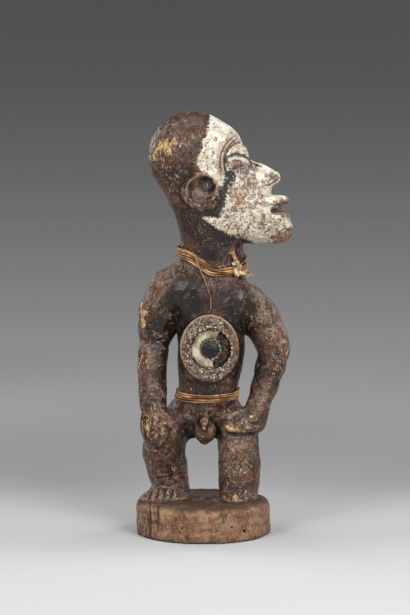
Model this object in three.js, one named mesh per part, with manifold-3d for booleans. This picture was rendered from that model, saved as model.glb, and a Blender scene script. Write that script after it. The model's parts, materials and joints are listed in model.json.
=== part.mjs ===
// A standing male power figure, carved with its round base from one block of wood.
// The head is turned to the figure's left and looks up. A round box is carved on the belly: it holds a dark
// resin charge, a broken pale ring and a glass eye. Plant-fibre cord is wound round the neck and the waist.
// Millimetres. +Z is up, the chest faces -Y and the face +X. The origin is under the middle of the base.

import * as THREE from "three";
import { mergeVertices } from "three/addons/utils/BufferGeometryUtils.js";
import { edgeTable, triTable } from "three/addons/objects/MarchingCubes.js";
import Module from "manifold-3d";

const wasm = await Module();
wasm.setup();

// Driving dimensions

const baseRadius = 56.5;
const baseHeight = 28;
const baseRounding = 4; // of the base's upper edge
const baseFootRounding = 1; // and of its lower edge
const carvingHeight = 322; // from the top of the base to the crown
const fitGap = 0.3; // between pieces that touch

const boxWidth = 48.5; // the carved box on the belly, across
const boxTall = 55.5; // and from top to bottom
const boxFront = 29.5; // from the body's axis to the face of the box
const boxRounding = 1.6; // of the box's outer edge
const recessRadius = 17;
const recessDepth = 6;

const chargeThickness = 2.4; // the resin bed in the recess
const chargeRounding = 0.8;
const ringInner = 9.2; // the pale ring that lies on the bed
const ringOuter = 15.6;
const ringThickness = 1.7;
const ringBevel = 0.3;
const ringBreak = [-78, 68]; // the part of the ring that is lost, in degrees from the right-hand side
const glassRadius = 8.6;
const glassEdge = 1.3; // height of the glass at its rim
const glassCrown = 1.9; // how far the dome rises above its rim

const strandDiameter = 1.9; // of the plant-fibre cord
const neckTurns = 5;
const waistTurns = 4;
const cordClearance = 0.55; // from the cord to the wood under it
const threadDiameter = 0.7;

// Landmarks on the carving are in thousandths of its height, measured from the middle of the base's top

const share = carvingHeight / 1000;
const spot = (x, y, z) => [x * share, y * share, baseHeight + z * share];
const radians = THREE.MathUtils.degToRad;

const boxMiddle = { x: 16, z: 398 };
const recessMiddle = { x: 18, z: 396 };

// The carving is sampled in cells of a grid, and the surface through them is then thinned out
const gridLow = [-190, -150, -60];
const gridHigh = [250, 130, 1020];
const gridCell = 6.8;
const figureTriangles = 6300;
const roundSegments = 44; // in the base, the recess and the resin
const glassSegments = 24;

// Distances to simple forms, in millimetres and negative inside

function smoothMin(a, b, softness) {
  const overlap = Math.max(softness - Math.abs(a - b), 0) / softness;
  return Math.min(a, b) - (overlap * overlap * softness) / 4;
}

// A limb that tapers straight from one ball to another: each is x, y, z and radius
function limb([ax, ay, az, ar], [bx, by, bz, br]) {
  const a = spot(ax, ay, az);
  const b = spot(bx, by, bz);
  const along = b.map((v, i) => v - a[i]);
  const length = Math.hypot(...along);
  return {
    middle: a.map((v, i) => v + along[i] / 2),
    reach: length / 2 + Math.max(ar, br) * share,
    distance(x, y, z) {
      const [px, py, pz] = [x - a[0], y - a[1], z - a[2]];
      const t = (px * along[0] + py * along[1] + pz * along[2]) / (length * length);
      const s = Math.min(1, Math.max(0, t));
      const off = Math.hypot(px - along[0] * s, py - along[1] * s, pz - along[2] * s);
      return off - (ar + (br - ar) * s) * share;
    },
  };
}

// Limbs end to end through a row of balls
const chain = (balls) => balls.slice(1).map((ball, i) => limb(balls[i], ball));

// An ellipsoid at x, y, z with three half sizes, tipped up towards +X by an angle and then turned about Z
function oval(x, y, z, sizeX, sizeY, sizeZ, tip = 0, turn = 0) {
  const middle = spot(x, y, z);
  const size = [sizeX * share, sizeY * share, sizeZ * share];
  const [cosTip, sinTip] = [Math.cos(radians(tip)), Math.sin(radians(tip))];
  const [cosTurn, sinTurn] = [Math.cos(radians(turn)), Math.sin(radians(turn))];
  return {
    middle,
    reach: Math.max(...size),
    distance(px, py, pz) {
      const [dx, dy, dz] = [px - middle[0], py - middle[1], pz - middle[2]];
      const ahead = dx * cosTurn + dy * sinTurn;
      const u = (ahead * cosTip + dz * sinTip) / size[0];
      const v = (dy * cosTurn - dx * sinTurn) / size[1];
      const w = (dz * cosTip - ahead * sinTip) / size[2];
      const near = Math.hypot(u, v, w);
      const slope = Math.hypot(u / size[0], v / size[1], w / size[2]);
      return near < 1e-3 ? -Math.min(...size) : (near * (near - 1)) / slope;
    },
  };
}

// A smooth curve through one column of a table whose first column rises
function curveThrough(table, at, column) {
  let i = 0;
  while (i < table.length - 2 && at > table[i + 1][0]) i++;
  const [a, b] = [table[i], table[i + 1]];
  const before = table[Math.max(0, i - 1)];
  const after = table[Math.min(table.length - 1, i + 2)];
  const span = b[0] - a[0];
  const t = Math.min(1, Math.max(0, (at - a[0]) / span));
  const slopeA = ((b[column] - before[column]) / (b[0] - before[0])) * span;
  const slopeB = ((after[column] - a[column]) / (after[0] - a[0])) * span;
  const [t2, t3] = [t * t, t * t * t];
  const ends = (2 * t3 - 3 * t2 + 1) * a[column] + (3 * t2 - 2 * t3) * b[column];
  return ends + (t3 - 2 * t2 + t) * slopeA + (t3 - t2) * slopeB;
}

// The trunk, from the seat to inside the head: height, middle x, middle y, half width, half depth
const trunk = [
  [160, 3, 22, 70, 48],
  [205, 3, 16, 88, 64],
  [240, 6, 8, 84, 67],
  [262, 9, 2, 78, 66],
  [280, 11, 0, 76, 66],
  [300, 14, 0, 77, 67],
  [345, 18, -1, 84, 72],
  [397, 21, 0, 87, 74],
  [450, 18, 2, 86, 72],
  [520, 22, 4, 92, 66],
  [560, 22, 6, 89, 60],
  [600, 23, 6, 83, 57],
  [640, 22, 6, 82, 57],
  [681, 21, 4, 81, 58],
  [732, 14, 0, 86, 60],
  [790, -4, 0, 94, 62],
  [830, -10, 0, 84, 56],
];
const trunkSquareness = 2.5; // of its sections: 2 would make them elliptical

function trunkDistance(x, y, z) {
  const height = (z - baseHeight) / share;
  const at = Math.min(trunk.at(-1)[0], Math.max(trunk[0][0], height));
  const section = [1, 2, 3, 4].map((column) => curveThrough(trunk, at, column));
  const [middleX, middleY, halfWidth, halfDepth] = section;
  const u = Math.abs(x / share - middleX) / halfWidth;
  const v = Math.abs(y / share - middleY) / halfDepth;
  const across = (u ** trunkSquareness + v ** trunkSquareness) ** (1 / trunkSquareness) - 1;
  const side = across * Math.min(halfWidth, halfDepth);
  const past = Math.abs(height - at);
  return (past > 0 ? Math.hypot(Math.max(side, 0), past) : side) * share;
}

// The carved box: an upright ellipse with a rounded edge, standing out of the belly
function boxDistance(x, y, z) {
  const [middleX, , middleZ] = spot(boxMiddle.x, 0, boxMiddle.z);
  const [halfWidth, halfTall] = [boxWidth / 2 - boxRounding, boxTall / 2 - boxRounding];
  const [u, w] = [(x - middleX) / halfWidth, (z - middleZ) / halfTall];
  const near = Math.hypot(u, w);
  const slope = Math.hypot(u / halfWidth, w / halfTall);
  const side = near < 1e-3 ? -halfWidth : (near * (near - 1)) / slope;
  const front = -y - (boxFront - boxRounding);
  const outside = Math.hypot(Math.max(side, 0), Math.max(front, 0));
  return Math.max(outside + Math.min(Math.max(side, front), 0) - boxRounding, y);
}

// The forms of the body, each with the softness of its joint to the rest

const softly = (softness, forms) => forms.map((form) => ({ form, softness: softness * share }));

const rightArm = chain([
  [-36, 8, 582, 44],
  [-90, 8, 542, 50],
  [-114, 10, 490, 50],
  [-121, 12, 440, 45],
  [-125, 14, 412, 40],
]);
const rightForearm = chain([
  [-129, 0, 384, 40],
  [-132, -14, 340, 37],
  [-130, -34, 285, 36],
  [-128, -48, 250, 35],
]);
const rightHand = [oval(-122, -66, 205, 40, 24, 64), limb([-104, -74, 232, 13], [-84, -82, 205, 10])];

const leftArm = chain([
  [112, 8, 505, 52],
  [145, 8, 470, 50],
  [171, 8, 423, 44],
  [184, 4, 388, 38],
  [173, -8, 343, 36],
  [158, -24, 295, 32],
  [145, -38, 262, 30],
]);
const leftHand = [
  limb([140, -46, 245, 32], [128, -56, 210, 34]),
  limb([126, -62, 204, 26], [74, -78, 202, 20]),
  limb([136, -60, 238, 15], [66, -84, 222, 11]),
];

const rightLeg = chain([
  [-46, 18, 208, 46],
  [-97, -14, 172, 54],
  [-103, 4, 120, 52],
  [-94, 14, 78, 50],
  [-87, 20, 44, 45],
  [-84, 22, 10, 45],
]);
const rightFoot = [limb([-80, 30, 8, 44], [-100, -18, 4, 46]), oval(-104, -34, 0, 63, 34, 32, 0, 12)];

const leftLeg = chain([
  [50, 18, 208, 46],
  [90, -26, 190, 50],
  [90, -26, 140, 50],
  [94, -22, 90, 52],
  [92, -26, 48, 50],
  [90, -36, 14, 45],
  [88, -42, -14, 42],
]);
const leftCalf = [limb([101, 4, 112, 36], [99, 0, 66, 38])];

const buttocks = [oval(-44, 50, 212, 52, 48, 54), oval(50, 50, 212, 52, 48, 54)];
const chest = [oval(-30, -34, 540, 62, 32, 46), oval(76, -34, 525, 60, 32, 46)];
const shoulderBlades = [oval(-26, 44, 525, 50, 34, 52), oval(70, 44, 515, 50, 34, 52)];
const sex = [limb([3, -58, 236, 13], [-1, -76, 190, 10]), oval(4, -48, 168, 25, 24, 30)];
const mound = [oval(12, -12, -6, 62, 50, 16)];

const bodyForms = [
  ...softly(14, [...rightArm, ...leftArm, ...rightLeg, ...leftLeg, ...leftCalf]),
  ...softly(4, rightForearm),
  ...softly(22, [...buttocks, ...chest, ...shoulderBlades]),
  ...softly(5, [...rightHand, ...leftHand, ...sex]),
  ...softly(10, [...rightFoot, ...mound]),
];

// The head is the same on both sides of the XZ plane, in which it looks up along +X

const headForms = [
  ...softly(22, [oval(-22, 0, 882, 116, 84, 122, 45), oval(58, 0, 806, 84, 66, 122, 29)]),
  ...softly(20, [oval(40, 0, 905, 60, 60, 60), limb([90, 0, 850, 34], [146, 0, 812, 30])]),
  ...softly(16, [limb([30, 0, 775, 66], [125, 0, 722, 58]), limb([125, 0, 722, 58], [193, 0, 699, 38])]),
  ...softly(14, [oval(123, 0, 782, 50, 46, 42)]),
  ...softly(8, [oval(166, 0, 768, 57, 43, 17, 8), oval(166, 0, 734, 59, 42, 17, -3)]),
  ...softly(12, [limb([112, 0, 876, 11], [180, 0, 831, 18])]),
  ...softly(8, [oval(164, 15, 822, 19, 15, 15, -20)]),
  ...softly(6, [oval(84, 42, 880, 31, 25, 38, -12)]),
  ...softly(5, [oval(-8, 68, 798, 48, 20, 48)]),
];
const headHollows = [
  ...softly(3, [oval(216, 0, 755, 66, 62, 8), oval(181, 12, 812, 9, 6, 7)]),
  ...softly(4, [oval(-6, 96, 799, 37, 28, 38)]),
];
const tongue = softly(3, [oval(158, 0, 754, 46, 37, 14)]);

// The brow is a raised band: seen from the side it is an arc from the bridge of the nose back to the temple
const brow = { x: 118, z: 862, radius: 70, from: 112, to: 205, fade: 12, width: 15, rise: 5 };

function browRise(x, z) {
  const [dx, dz] = [x / share - brow.x, (z - baseHeight) / share - brow.z];
  const off = (2 * (Math.hypot(dx, dz) - brow.radius)) / brow.width;
  const angle = (THREE.MathUtils.radToDeg(Math.atan2(dz, dx)) + 360) % 360;
  const inside = Math.min(angle - brow.from, brow.to - angle) / brow.fade;
  return brow.rise * share * Math.max(1 - off * off, 0) * Math.min(1, Math.max(0, inside));
}

const outOfReach = ({ form, softness }, x, y, z, d) =>
  Math.hypot(x - form.middle[0], y - form.middle[1], z - form.middle[2]) - form.reach > d + softness;

function joined(d, parts, x, y, z) {
  let near = d;
  for (const part of parts) {
    if (outOfReach(part, x, y, z, near)) continue;
    near = smoothMin(near, part.form.distance(x, y, z), part.softness);
  }
  return near;
}

function hollowed(d, parts, x, y, z) {
  let near = d;
  for (const part of parts) {
    if (outOfReach(part, x, y, z, -near)) continue;
    near = -smoothMin(-near, part.form.distance(x, y, z), part.softness);
  }
  return near;
}

const chinHeight = spot(0, 0, 600)[2];

function woodDistance(x, y, z) {
  let d = smoothMin(trunkDistance(x, y, z), boxDistance(x, y, z), 4 * share);
  d = joined(d, bodyForms, x, y, z);
  if (z < chinHeight) return d;
  let head = joined(1000, headForms, x, Math.abs(y), z) - browRise(x, z);
  head = hollowed(head, headHollows, x, Math.abs(y), z);
  head = joined(head, tongue, x, y, z);
  return smoothMin(d, head, 8 * share);
}

// Distances at the corners of a grid of cells. Far from the surface, a block of cells gets its middle's.

const blockCells = 4;

function sampled(distance, low, count, cell) {
  const values = new Float64Array(count[0] * count[1] * count[2]);
  const far = 1.5 * Math.sqrt(3) * (blockCells / 2) * cell;
  const at = (i, j, k) => distance(low[0] + i * cell, low[1] + j * cell, low[2] + k * cell);
  const middles = new Map();
  const middleNear = (...corner) => {
    const start = corner.map((v) => v - (v % blockCells));
    const key = start.join();
    if (!middles.has(key)) middles.set(key, at(...start.map((v) => v + blockCells / 2)));
    return middles.get(key);
  };
  let n = 0;
  for (let k = 0; k < count[2]; k++) {
    for (let j = 0; j < count[1]; j++) {
      for (let i = 0; i < count[0]; i++) {
        const middle = middleNear(i, j, k);
        values[n] = Math.abs(middle) > far ? middle : at(i, j, k);
        n++;
      }
    }
  }
  return values;
}

// The surface where a distance is zero, by marching cubes over cells of one size

function surfaceOf(distance, low, high, cell) {
  const count = low.map((v, i) => Math.ceil((high[i] - v) / cell) + 1);
  const stride = [1, count[0], count[0] * count[1]];
  const values = sampled(distance, low, count, cell);
  const square = [0, 1, 1 + stride[1], stride[1]];
  const corners = [...square, ...square.map((n) => n + stride[2])];
  const around = [0, 1, 2, 3];
  const edges = [
    ...around.map((e) => [e, (e + 1) % 4]),
    ...around.map((e) => [e + 4, ((e + 1) % 4) + 4]),
    ...around.map((e) => [e, e + 4]),
  ];
  const points = [];
  const triangles = [];
  const made = new Map();
  const place = (n) => [n % stride[1], Math.floor(n / stride[1]) % count[1], Math.floor(n / stride[2])];
  const pointOn = (n, edge) => {
    const [a, b] = edges[edge].map((c) => n + corners[c]).sort((p, q) => p - q);
    const key = a * 3 + stride.indexOf(b - a);
    if (!made.has(key)) {
      const t = values[a] / (values[a] - values[b]);
      const [from, to] = [place(a), place(b)];
      made.set(key, points.length);
      points.push(low.map((v, i) => v + (from[i] + (to[i] - from[i]) * t) * cell));
    }
    return made.get(key);
  };
  for (let k = 0; k < count[2] - 1; k++) {
    for (let j = 0; j < count[1] - 1; j++) {
      for (let i = 0; i < count[0] - 1; i++) {
        const n = i + j * stride[1] + k * stride[2];
        const code = corners.reduce((sum, c, bit) => sum + (values[n + c] < 0 ? 1 << bit : 0), 0);
        if (edgeTable[code] === 0) continue;
        for (let t = code * 16; triTable[t] !== -1; t += 3) {
          triangles.push([2, 1, 0].map((v) => pointOn(n, triTable[t + v])));
        }
      }
    }
  }
  return { points, triangles };
}

// A surface with fewer triangles: the edges whose loss moves it least are collapsed first.
// A quadric holds the summed squared distances to planes, as the upper half of a 4 x 4 matrix.

function addPlane(quadric, [a, b, c, d], weight) {
  const terms = [a * a, a * b, a * c, a * d, b * b, b * c, b * d, c * c, c * d, d * d];
  terms.forEach((term, i) => (quadric[i] += term * weight));
}

function misfit(q, [x, y, z]) {
  const squares = q[0] * x * x + q[4] * y * y + q[7] * z * z;
  const products = q[1] * x * y + q[2] * x * z + q[5] * y * z;
  return squares + 2 * (products + q[3] * x + q[6] * y + q[8] * z) + q[9];
}

const steadying = 1e-3; // pull towards the middle of the edge, where the surface is flat
const lengthCost = 1e-5; // makes short edges go first where the surface is flat
const leastFacing = 0.2; // how far a triangle may turn: the cosine of the angle
const leastWidth = 0.04; // of a triangle, as a share of its longest edge
const tiny = 1e-12;

function bestPoint(q, middle) {
  const pull = steadying * (q[0] + q[4] + q[7]) + tiny;
  const [a, b, c] = [q[0] + pull, q[4] + pull, q[7] + pull];
  const [u, v, w] = [pull * middle[0] - q[3], pull * middle[1] - q[6], pull * middle[2] - q[8]];
  const [m, n, o] = [b * c - q[5] * q[5], q[2] * q[5] - q[1] * c, q[1] * q[5] - q[2] * b];
  const size = a * m + q[1] * n + q[2] * o;
  const [p, r, s] = [a * c - q[2] * q[2], q[1] * q[2] - a * q[5], a * b - q[1] * q[1]];
  return [m * u + n * v + o * w, n * u + p * v + r * w, o * u + r * v + s * w].map((t) => t / size);
}

// Square to a triangle, with twice its area as length
function cross(a, b, c) {
  const [ux, uy, uz] = [b[0] - a[0], b[1] - a[1], b[2] - a[2]];
  const [vx, vy, vz] = [c[0] - a[0], c[1] - a[1], c[2] - a[2]];
  return [uy * vz - uz * vy, uz * vx - ux * vz, ux * vy - uy * vx];
}

const apart = (a, b) => Math.hypot(a[0] - b[0], a[1] - b[1], a[2] - b[2]);

// The entries of a heap, the cheapest first
function push(heap, entry) {
  let i = heap.push(entry) - 1;
  while (i > 0) {
    const parent = (i - 1) >> 1;
    if (heap[parent].cost <= entry.cost) break;
    heap[i] = heap[parent];
    i = parent;
  }
  heap[i] = entry;
}

function pop(heap) {
  const first = heap[0];
  const last = heap.pop();
  if (heap.length === 0) return first;
  let i = 0;
  for (;;) {
    let child = 2 * i + 1;
    if (child >= heap.length) break;
    if (child + 1 < heap.length && heap[child + 1].cost < heap[child].cost) child++;
    if (heap[child].cost >= last.cost) break;
    heap[i] = heap[child];
    i = child;
  }
  heap[i] = last;
  return first;
}

function simplified({ points, triangles }, target, isFixed) {
  const place = points.map((p) => [...p]);
  const faces = triangles.map((t) => [...t]);
  const facesAt = place.map(() => new Set());
  faces.forEach((face, f) => face.forEach((v) => facesAt[v].add(f)));
  const fixed = place.map(isFixed);
  const quadrics = place.map(() => new Float64Array(10));
  for (const face of faces) {
    const corners = face.map((v) => place[v]);
    const normal = cross(...corners);
    const twiceArea = Math.hypot(...normal);
    if (twiceArea < tiny) continue;
    const unit = normal.map((v) => v / twiceArea);
    const offset = -unit.reduce((sum, v, i) => sum + v * corners[0][i], 0);
    face.forEach((v) => addPlane(quadrics[v], [...unit, offset], twiceArea));
  }

  const versions = new Int32Array(place.length);
  const heap = [];
  const consider = (a, b) => {
    if (fixed[a] && fixed[b]) return;
    const sum = quadrics[a].map((v, i) => v + quadrics[b][i]);
    const middle = place[a].map((v, i) => (v + place[b][i]) / 2);
    const kept = [a, b].find((v) => fixed[v]);
    const to = kept === undefined ? bestPoint(sum, middle) : place[kept];
    const cost = misfit(sum, to) + lengthCost * apart(place[a], place[b]) ** 4;
    push(heap, { cost, a, b, to, made: [versions[a], versions[b]] });
  };
  const neighbours = (v) => new Set([...facesAt[v]].flatMap((f) => faces[f]).filter((w) => w !== v));
  const staysSound = (v, gone, to) =>
    [...facesAt[v]].every((f) => {
      if (faces[f].includes(gone)) return true;
      const before = cross(...faces[f].map((w) => place[w]));
      const corners = faces[f].map((w) => (w === v ? to : place[w]));
      const after = cross(...corners);
      const dot = before[0] * after[0] + before[1] * after[1] + before[2] * after[2];
      const longest = Math.max(...corners.map((p, i) => apart(p, corners[(i + 1) % 3])));
      const size = Math.hypot(...after);
      const keepsFacing = dot > leastFacing * Math.hypot(...before) * size;
      return keepsFacing && size > leastWidth * longest * longest;
    });

  for (const face of faces) {
    face.forEach((v, i) => v < face[(i + 1) % 3] && consider(v, face[(i + 1) % 3]));
  }
  let left = faces.length;
  while (left > target && heap.length > 0) {
    const { a, b, to, made } = pop(heap);
    if (versions[a] !== made[0] || versions[b] !== made[1]) continue;
    const [nearA, nearB] = [neighbours(a), neighbours(b)];
    if ([...nearA].filter((v) => nearB.has(v)).length !== 2) continue;
    if (!staysSound(a, b, to) || !staysSound(b, a, to)) continue;
    for (const f of facesAt[b]) {
      if (faces[f].includes(a)) {
        faces[f].forEach((v) => v !== b && facesAt[v].delete(f));
        faces[f] = null;
        left--;
      } else {
        faces[f] = faces[f].map((v) => (v === b ? a : v));
        facesAt[a].add(f);
      }
    }
    facesAt[b] = new Set();
    versions[b] = -1;
    versions[a]++;
    place[a] = to;
    fixed[a] ||= fixed[b];
    quadrics[a] = quadrics[a].map((v, i) => v + quadrics[b][i]);
    neighbours(a).forEach((v) => consider(a, v));
  }
  return { points: place, triangles: faces.filter((face) => face !== null) };
}

// Between the library's meshes and solids that can be joined and cut

const mergeReach = 1e-4;

function solidOf(geometry) {
  const bare = new THREE.BufferGeometry();
  bare.setAttribute("position", geometry.attributes.position);
  bare.setIndex(geometry.index);
  const merged = mergeVertices(bare, mergeReach);
  const vertProperties = new Float32Array(merged.attributes.position.array);
  const triVerts = new Uint32Array(merged.index.array);
  return new wasm.Manifold(new wasm.Mesh({ numProp: 3, vertProperties, triVerts }));
}

function inThrees(list) {
  return Array.from({ length: list.length / 3 }, (_, i) => [...list.slice(3 * i, 3 * i + 3)]);
}

function meshOf(solid) {
  const { vertProperties, triVerts } = solid.getMesh();
  return { points: inThrees(vertProperties), triangles: inThrees(triVerts) };
}

function geometryOf({ points, triangles }) {
  const geometry = new THREE.BufferGeometry();
  geometry.setAttribute("position", new THREE.Float32BufferAttribute(points.flat(), 3));
  geometry.setIndex(triangles.flat());
  geometry.computeVertexNormals();
  return geometry;
}

// A turned solid: radius and height along the profile, with +Z as its axis
function turned(profile, segments) {
  const outline = profile.map(([radius, height]) => new THREE.Vector2(radius, height));
  return new THREE.LatheGeometry(outline, segments).rotateX(Math.PI / 2);
}

// A quarter round between two directions, in degrees
function rounding(radius, height, size, from, to, steps) {
  return Array.from({ length: steps + 1 }, (_, i) => {
    const angle = radians(from + ((to - from) * i) / steps);
    return [radius + size * Math.cos(angle), height + size * Math.sin(angle)];
  });
}

// The figure in one piece with its base, and the round recess cut in its belly box

const bellyFrame = new THREE.Matrix4()
  .makeRotationX(Math.PI / 2)
  .setPosition(spot(recessMiddle.x, 0, recessMiddle.z)[0], -boxFront, spot(0, 0, recessMiddle.z)[2]);

function carvedFigure() {
  const grown = surfaceOf(woodDistance, spot(...gridLow), spot(...gridHigh), gridCell * share);
  const body = solidOf(geometryOf(grown));
  const base = turned(
    [
      [0, 0],
      ...rounding(baseRadius - baseFootRounding, baseFootRounding, baseFootRounding, -90, 0, 2),
      ...rounding(baseRadius - baseRounding, baseHeight - baseRounding, baseRounding, 0, 90, 3),
      [0, baseHeight],
    ],
    roundSegments,
  );
  const recess = turned(
    [
      [0, -recessDepth],
      [recessRadius, -recessDepth],
      [recessRadius, 0],
      [recessRadius, recessDepth],
      [0, recessDepth],
    ],
    roundSegments,
  ).applyMatrix4(bellyFrame);
  const whole = body.add(solidOf(base)).subtract(solidOf(recess));
  const key = (point) => point.map((v) => Math.round(v * 100)).join();
  const turnedPoints = [base, recess].flatMap((g) => inThrees(g.attributes.position.array));
  const exact = new Set(turnedPoints.map(key));
  return geometryOf(simplified(meshOf(whole), figureTriangles, (point) => exact.has(key(point))));
}

// What fills the recess: a bed of resin, a broken ring lying on it, and a domed glass in the middle

const bedTop = fitGap + chargeThickness - recessDepth;

function resinCharge() {
  const radius = recessRadius - fitGap;
  return turned(
    [
      [0, fitGap - recessDepth],
      [radius, fitGap - recessDepth],
      ...rounding(radius - chargeRounding, bedTop - chargeRounding, chargeRounding, 0, 90, 1),
      [0, bedTop],
    ],
    roundSegments,
  );
}

function brokenRing() {
  const [from, to] = [radians(ringBreak[1]), radians(ringBreak[0] + 360)];
  const outline = new THREE.Shape();
  outline.absarc(0, 0, ringOuter, from, to, false);
  outline.absarc(0, 0, ringInner, to, from, true);
  const ring = new THREE.ExtrudeGeometry(outline, {
    depth: ringThickness - 2 * ringBevel,
    curveSegments: 9,
    bevelThickness: ringBevel,
    bevelSize: ringBevel,
    bevelOffset: -ringBevel,
    bevelSegments: 1,
  });
  return ring.translate(0, 0, bedTop + fitGap + ringBevel);
}

function domedGlass() {
  const foot = bedTop + fitGap;
  const top = foot + glassEdge + glassCrown;
  const domeRadius = (glassRadius ** 2 + glassCrown ** 2) / (2 * glassCrown);
  const opening = THREE.MathUtils.radToDeg(Math.asin(glassRadius / domeRadius));
  const dome = rounding(0, top - domeRadius, domeRadius, 90 - opening, 90, 3).slice(0, -1);
  return turned([[0, foot], [glassRadius, foot], ...dome, [0, top]], glassSegments);
}

// Cord wound round the carving in turns that lie side by side.
// The lowest turn passes through heights given by the angle round the axis: the right-hand side is at 0 degrees,
// and the front at -90. Each next turn lies a strand higher on the wood.

const strandRadius = strandDiameter / 2;
const windingSteps = 26;
const outwardStep = 0.1;
const halvings = 12;

// How far out from the axis, in one direction and at one height, the wood is cleared by some distance
function clearOf(axis, angle, z, clearance) {
  const [axisX, axisY] = spot(...axis, 0);
  const [outX, outY] = [Math.cos(radians(angle)), Math.sin(radians(angle))];
  const place = (out, height) => [axisX + out * outX, axisY + out * outY, height];
  const gap = (out, height) => woodDistance(...place(out, height)) - clearance;
  let out = strandDiameter;
  while (gap(out, z) < 0) out += outwardStep;
  return { out, place, gap };
}

function woundCord({ axis, heights, turns }) {
  const rings = [];
  for (let i = 0; i < windingSteps; i++) {
    const angle = (360 * i) / windingSteps - 180;
    const lowest = spot(0, 0, curveThrough(heights, angle, 1))[2];
    const { out, place, gap } = clearOf(axis, angle, lowest, strandRadius + cordClearance);
    const centres = [[out, lowest]];
    while (centres.length < turns) {
      const [lastOut, lastZ] = centres.at(-1);
      const next = (turn) => {
        const [sideways, upwards] = [Math.cos(turn), Math.sin(turn)];
        return [lastOut + strandDiameter * sideways, lastZ + strandDiameter * upwards];
      };
      let [free, buried] = [0, Math.PI];
      for (let halving = 0; halving < halvings; halving++) {
        const turn = (free + buried) / 2;
        if (gap(...next(turn)) > 0) free = turn;
        else buried = turn;
      }
      centres.push(next(free));
    }
    rings.push(stackSection(centres).map(([r, z]) => place(r, z)));
  }
  return hoop(rings);
}

// The outline of strands stacked side by side: round outside with valleys between, plain against the wood.
// Its points lie out from the wood and up along it from a strand's middle, in strand radii.
const strandFace = [
  [0.8, -0.6],
  [0.8, 0.6],
];
const strandEnd = [0, 1];
const strandValley = [0.35, 1];

function stackSection(centres) {
  const last = centres.length - 1;
  const outer = [];
  const inner = [];
  centres.forEach(([r, z], i) => {
    const [below, above] = [centres[Math.max(0, i - 1)], centres[Math.min(last, i + 1)]];
    const length = Math.hypot(above[0] - below[0], above[1] - below[1]);
    const [upR, upZ] = [(above[0] - below[0]) / length, (above[1] - below[1]) / length];
    const at = ([out, up]) => {
      const [alongR, alongZ] = [out * upZ + up * upR, up * upZ - out * upR];
      return [r + strandRadius * alongR, z + strandRadius * alongZ];
    };
    if (i === 0) outer.push(at([0, -1]));
    outer.push(...strandFace.map(at), at(i === last ? strandEnd : strandValley));
    inner.unshift(at([-1, 0]));
  });
  return [...outer, ...inner];
}

// A closed hoop through rings of points
function hoop(rings) {
  const size = rings[0].length;
  const triangles = [];
  rings.forEach((_, i) => {
    const [here, next] = [i * size, ((i + 1) % rings.length) * size];
    for (let j = 0; j < size; j++) {
      const k = (j + 1) % size;
      triangles.push([here + j, next + j, next + k], [here + j, next + k, here + k]);
    }
  });
  return geometryOf({ points: rings.flat(), triangles });
}

// A round tube along points in millimetres
function tube(points, radius, sides, steps) {
  const section = new THREE.Shape();
  for (let i = 0; i < sides; i++) {
    const angle = (2 * Math.PI * i) / sides;
    const corner = [radius * Math.cos(angle), radius * Math.sin(angle)];
    if (i === 0) section.moveTo(...corner);
    else section.lineTo(...corner);
  }
  const extrudePath = new THREE.CatmullRomCurve3(points.map((p) => new THREE.Vector3(...p)));
  return new THREE.ExtrudeGeometry(section, { steps, extrudePath, bevelEnabled: false });
}

const neckWinding = {
  axis: [21, 6],
  turns: neckTurns,
  heights: [
    [-240, 632],
    [-180, 626],
    [-142, 616],
    [-114, 594],
    [-92, 578],
    [-60, 576],
    [-42, 581],
    [0, 600],
    [60, 625],
    [120, 632],
    [180, 626],
    [218, 616],
  ],
};
const waistWinding = {
  axis: [10, 0],
  turns: waistTurns,
  heights: [
    [-270, 270],
    [-180, 264],
    [-90, 255],
    [0, 263],
    [90, 270],
    [180, 264],
    [270, 255],
  ],
};

// The neck cord's ends are tied in a knot at the throat: one stands up along the neck and one points aside.
// What lies on the neck is given by its angle round it and its height.
const knotRadius = 3.1;
const endRadius = 1.6;
const knotAt = [-36, 600];
const standingEnd = [
  [-37, 608],
  [-42, 624],
  [-50, 648],
];
const asideEnd = [
  [113, -42, 590],
  [128, -44, 582],
];

function besideNeck([angle, height], clearance) {
  const z = spot(0, 0, height)[2];
  const { out, place } = clearOf(neckWinding.axis, angle, z, clearance);
  return place(out, z);
}

function knottedNeckCord() {
  const middle = besideNeck(knotAt, knotRadius + cordClearance);
  const knot = new THREE.IcosahedronGeometry(knotRadius, 1).translate(...middle);
  const standing = standingEnd.map((p) => besideNeck(p, endRadius + cordClearance));
  const aside = asideEnd.map((p) => spot(...p));
  const ends = [standing, aside].map((points) => tube([middle, ...points], endRadius, 6, 4));
  const tied = [woundCord(neckWinding), knot, ...ends].map(solidOf);
  return geometryOf(meshOf(tied.reduce((whole, solid) => whole.add(solid))));
}

// The thread leaves the top of the neck cord, passes over its turns and hangs down to the belly box
const threadPoints = [
  [-9.2, -16.2, 234.3],
  [-7.6, -18.3, 231.9],
  [-6, -19.1, 228.8],
  [-4.3, -19.4, 224.7],
  [-2.7, -19.8, 220.7],
  [-1.1, -19.2, 216.5],
  [0.6, -19.4, 212.9],
  [2.5, -20.6, 208],
  [4.7, -21.4, 201.9],
  [6, -21.8, 196.2],
  [6.2, -21.8, 192.1],
  [6, -22, 187.6],
];

const threadSides = 8;
const threadSteps = 18;

const wood = new THREE.MeshStandardMaterial({ color: 0x5a4436, roughness: 0.75 });
const resin = new THREE.MeshStandardMaterial({ color: 0x2e2620, roughness: 0.7 });
const shell = new THREE.MeshStandardMaterial({ color: 0xd9d2bd, roughness: 0.6 });
const glass = new THREE.MeshStandardMaterial({ color: 0x1c2528, roughness: 0.15 });
const fibre = new THREE.MeshStandardMaterial({ color: 0xb98a55, roughness: 0.9 });

const figure = new THREE.Group();

function piece(name, geometry, material, parent = figure) {
  const mesh = new THREE.Mesh(geometry, material);
  mesh.name = name;
  parent.add(mesh);
}

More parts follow.
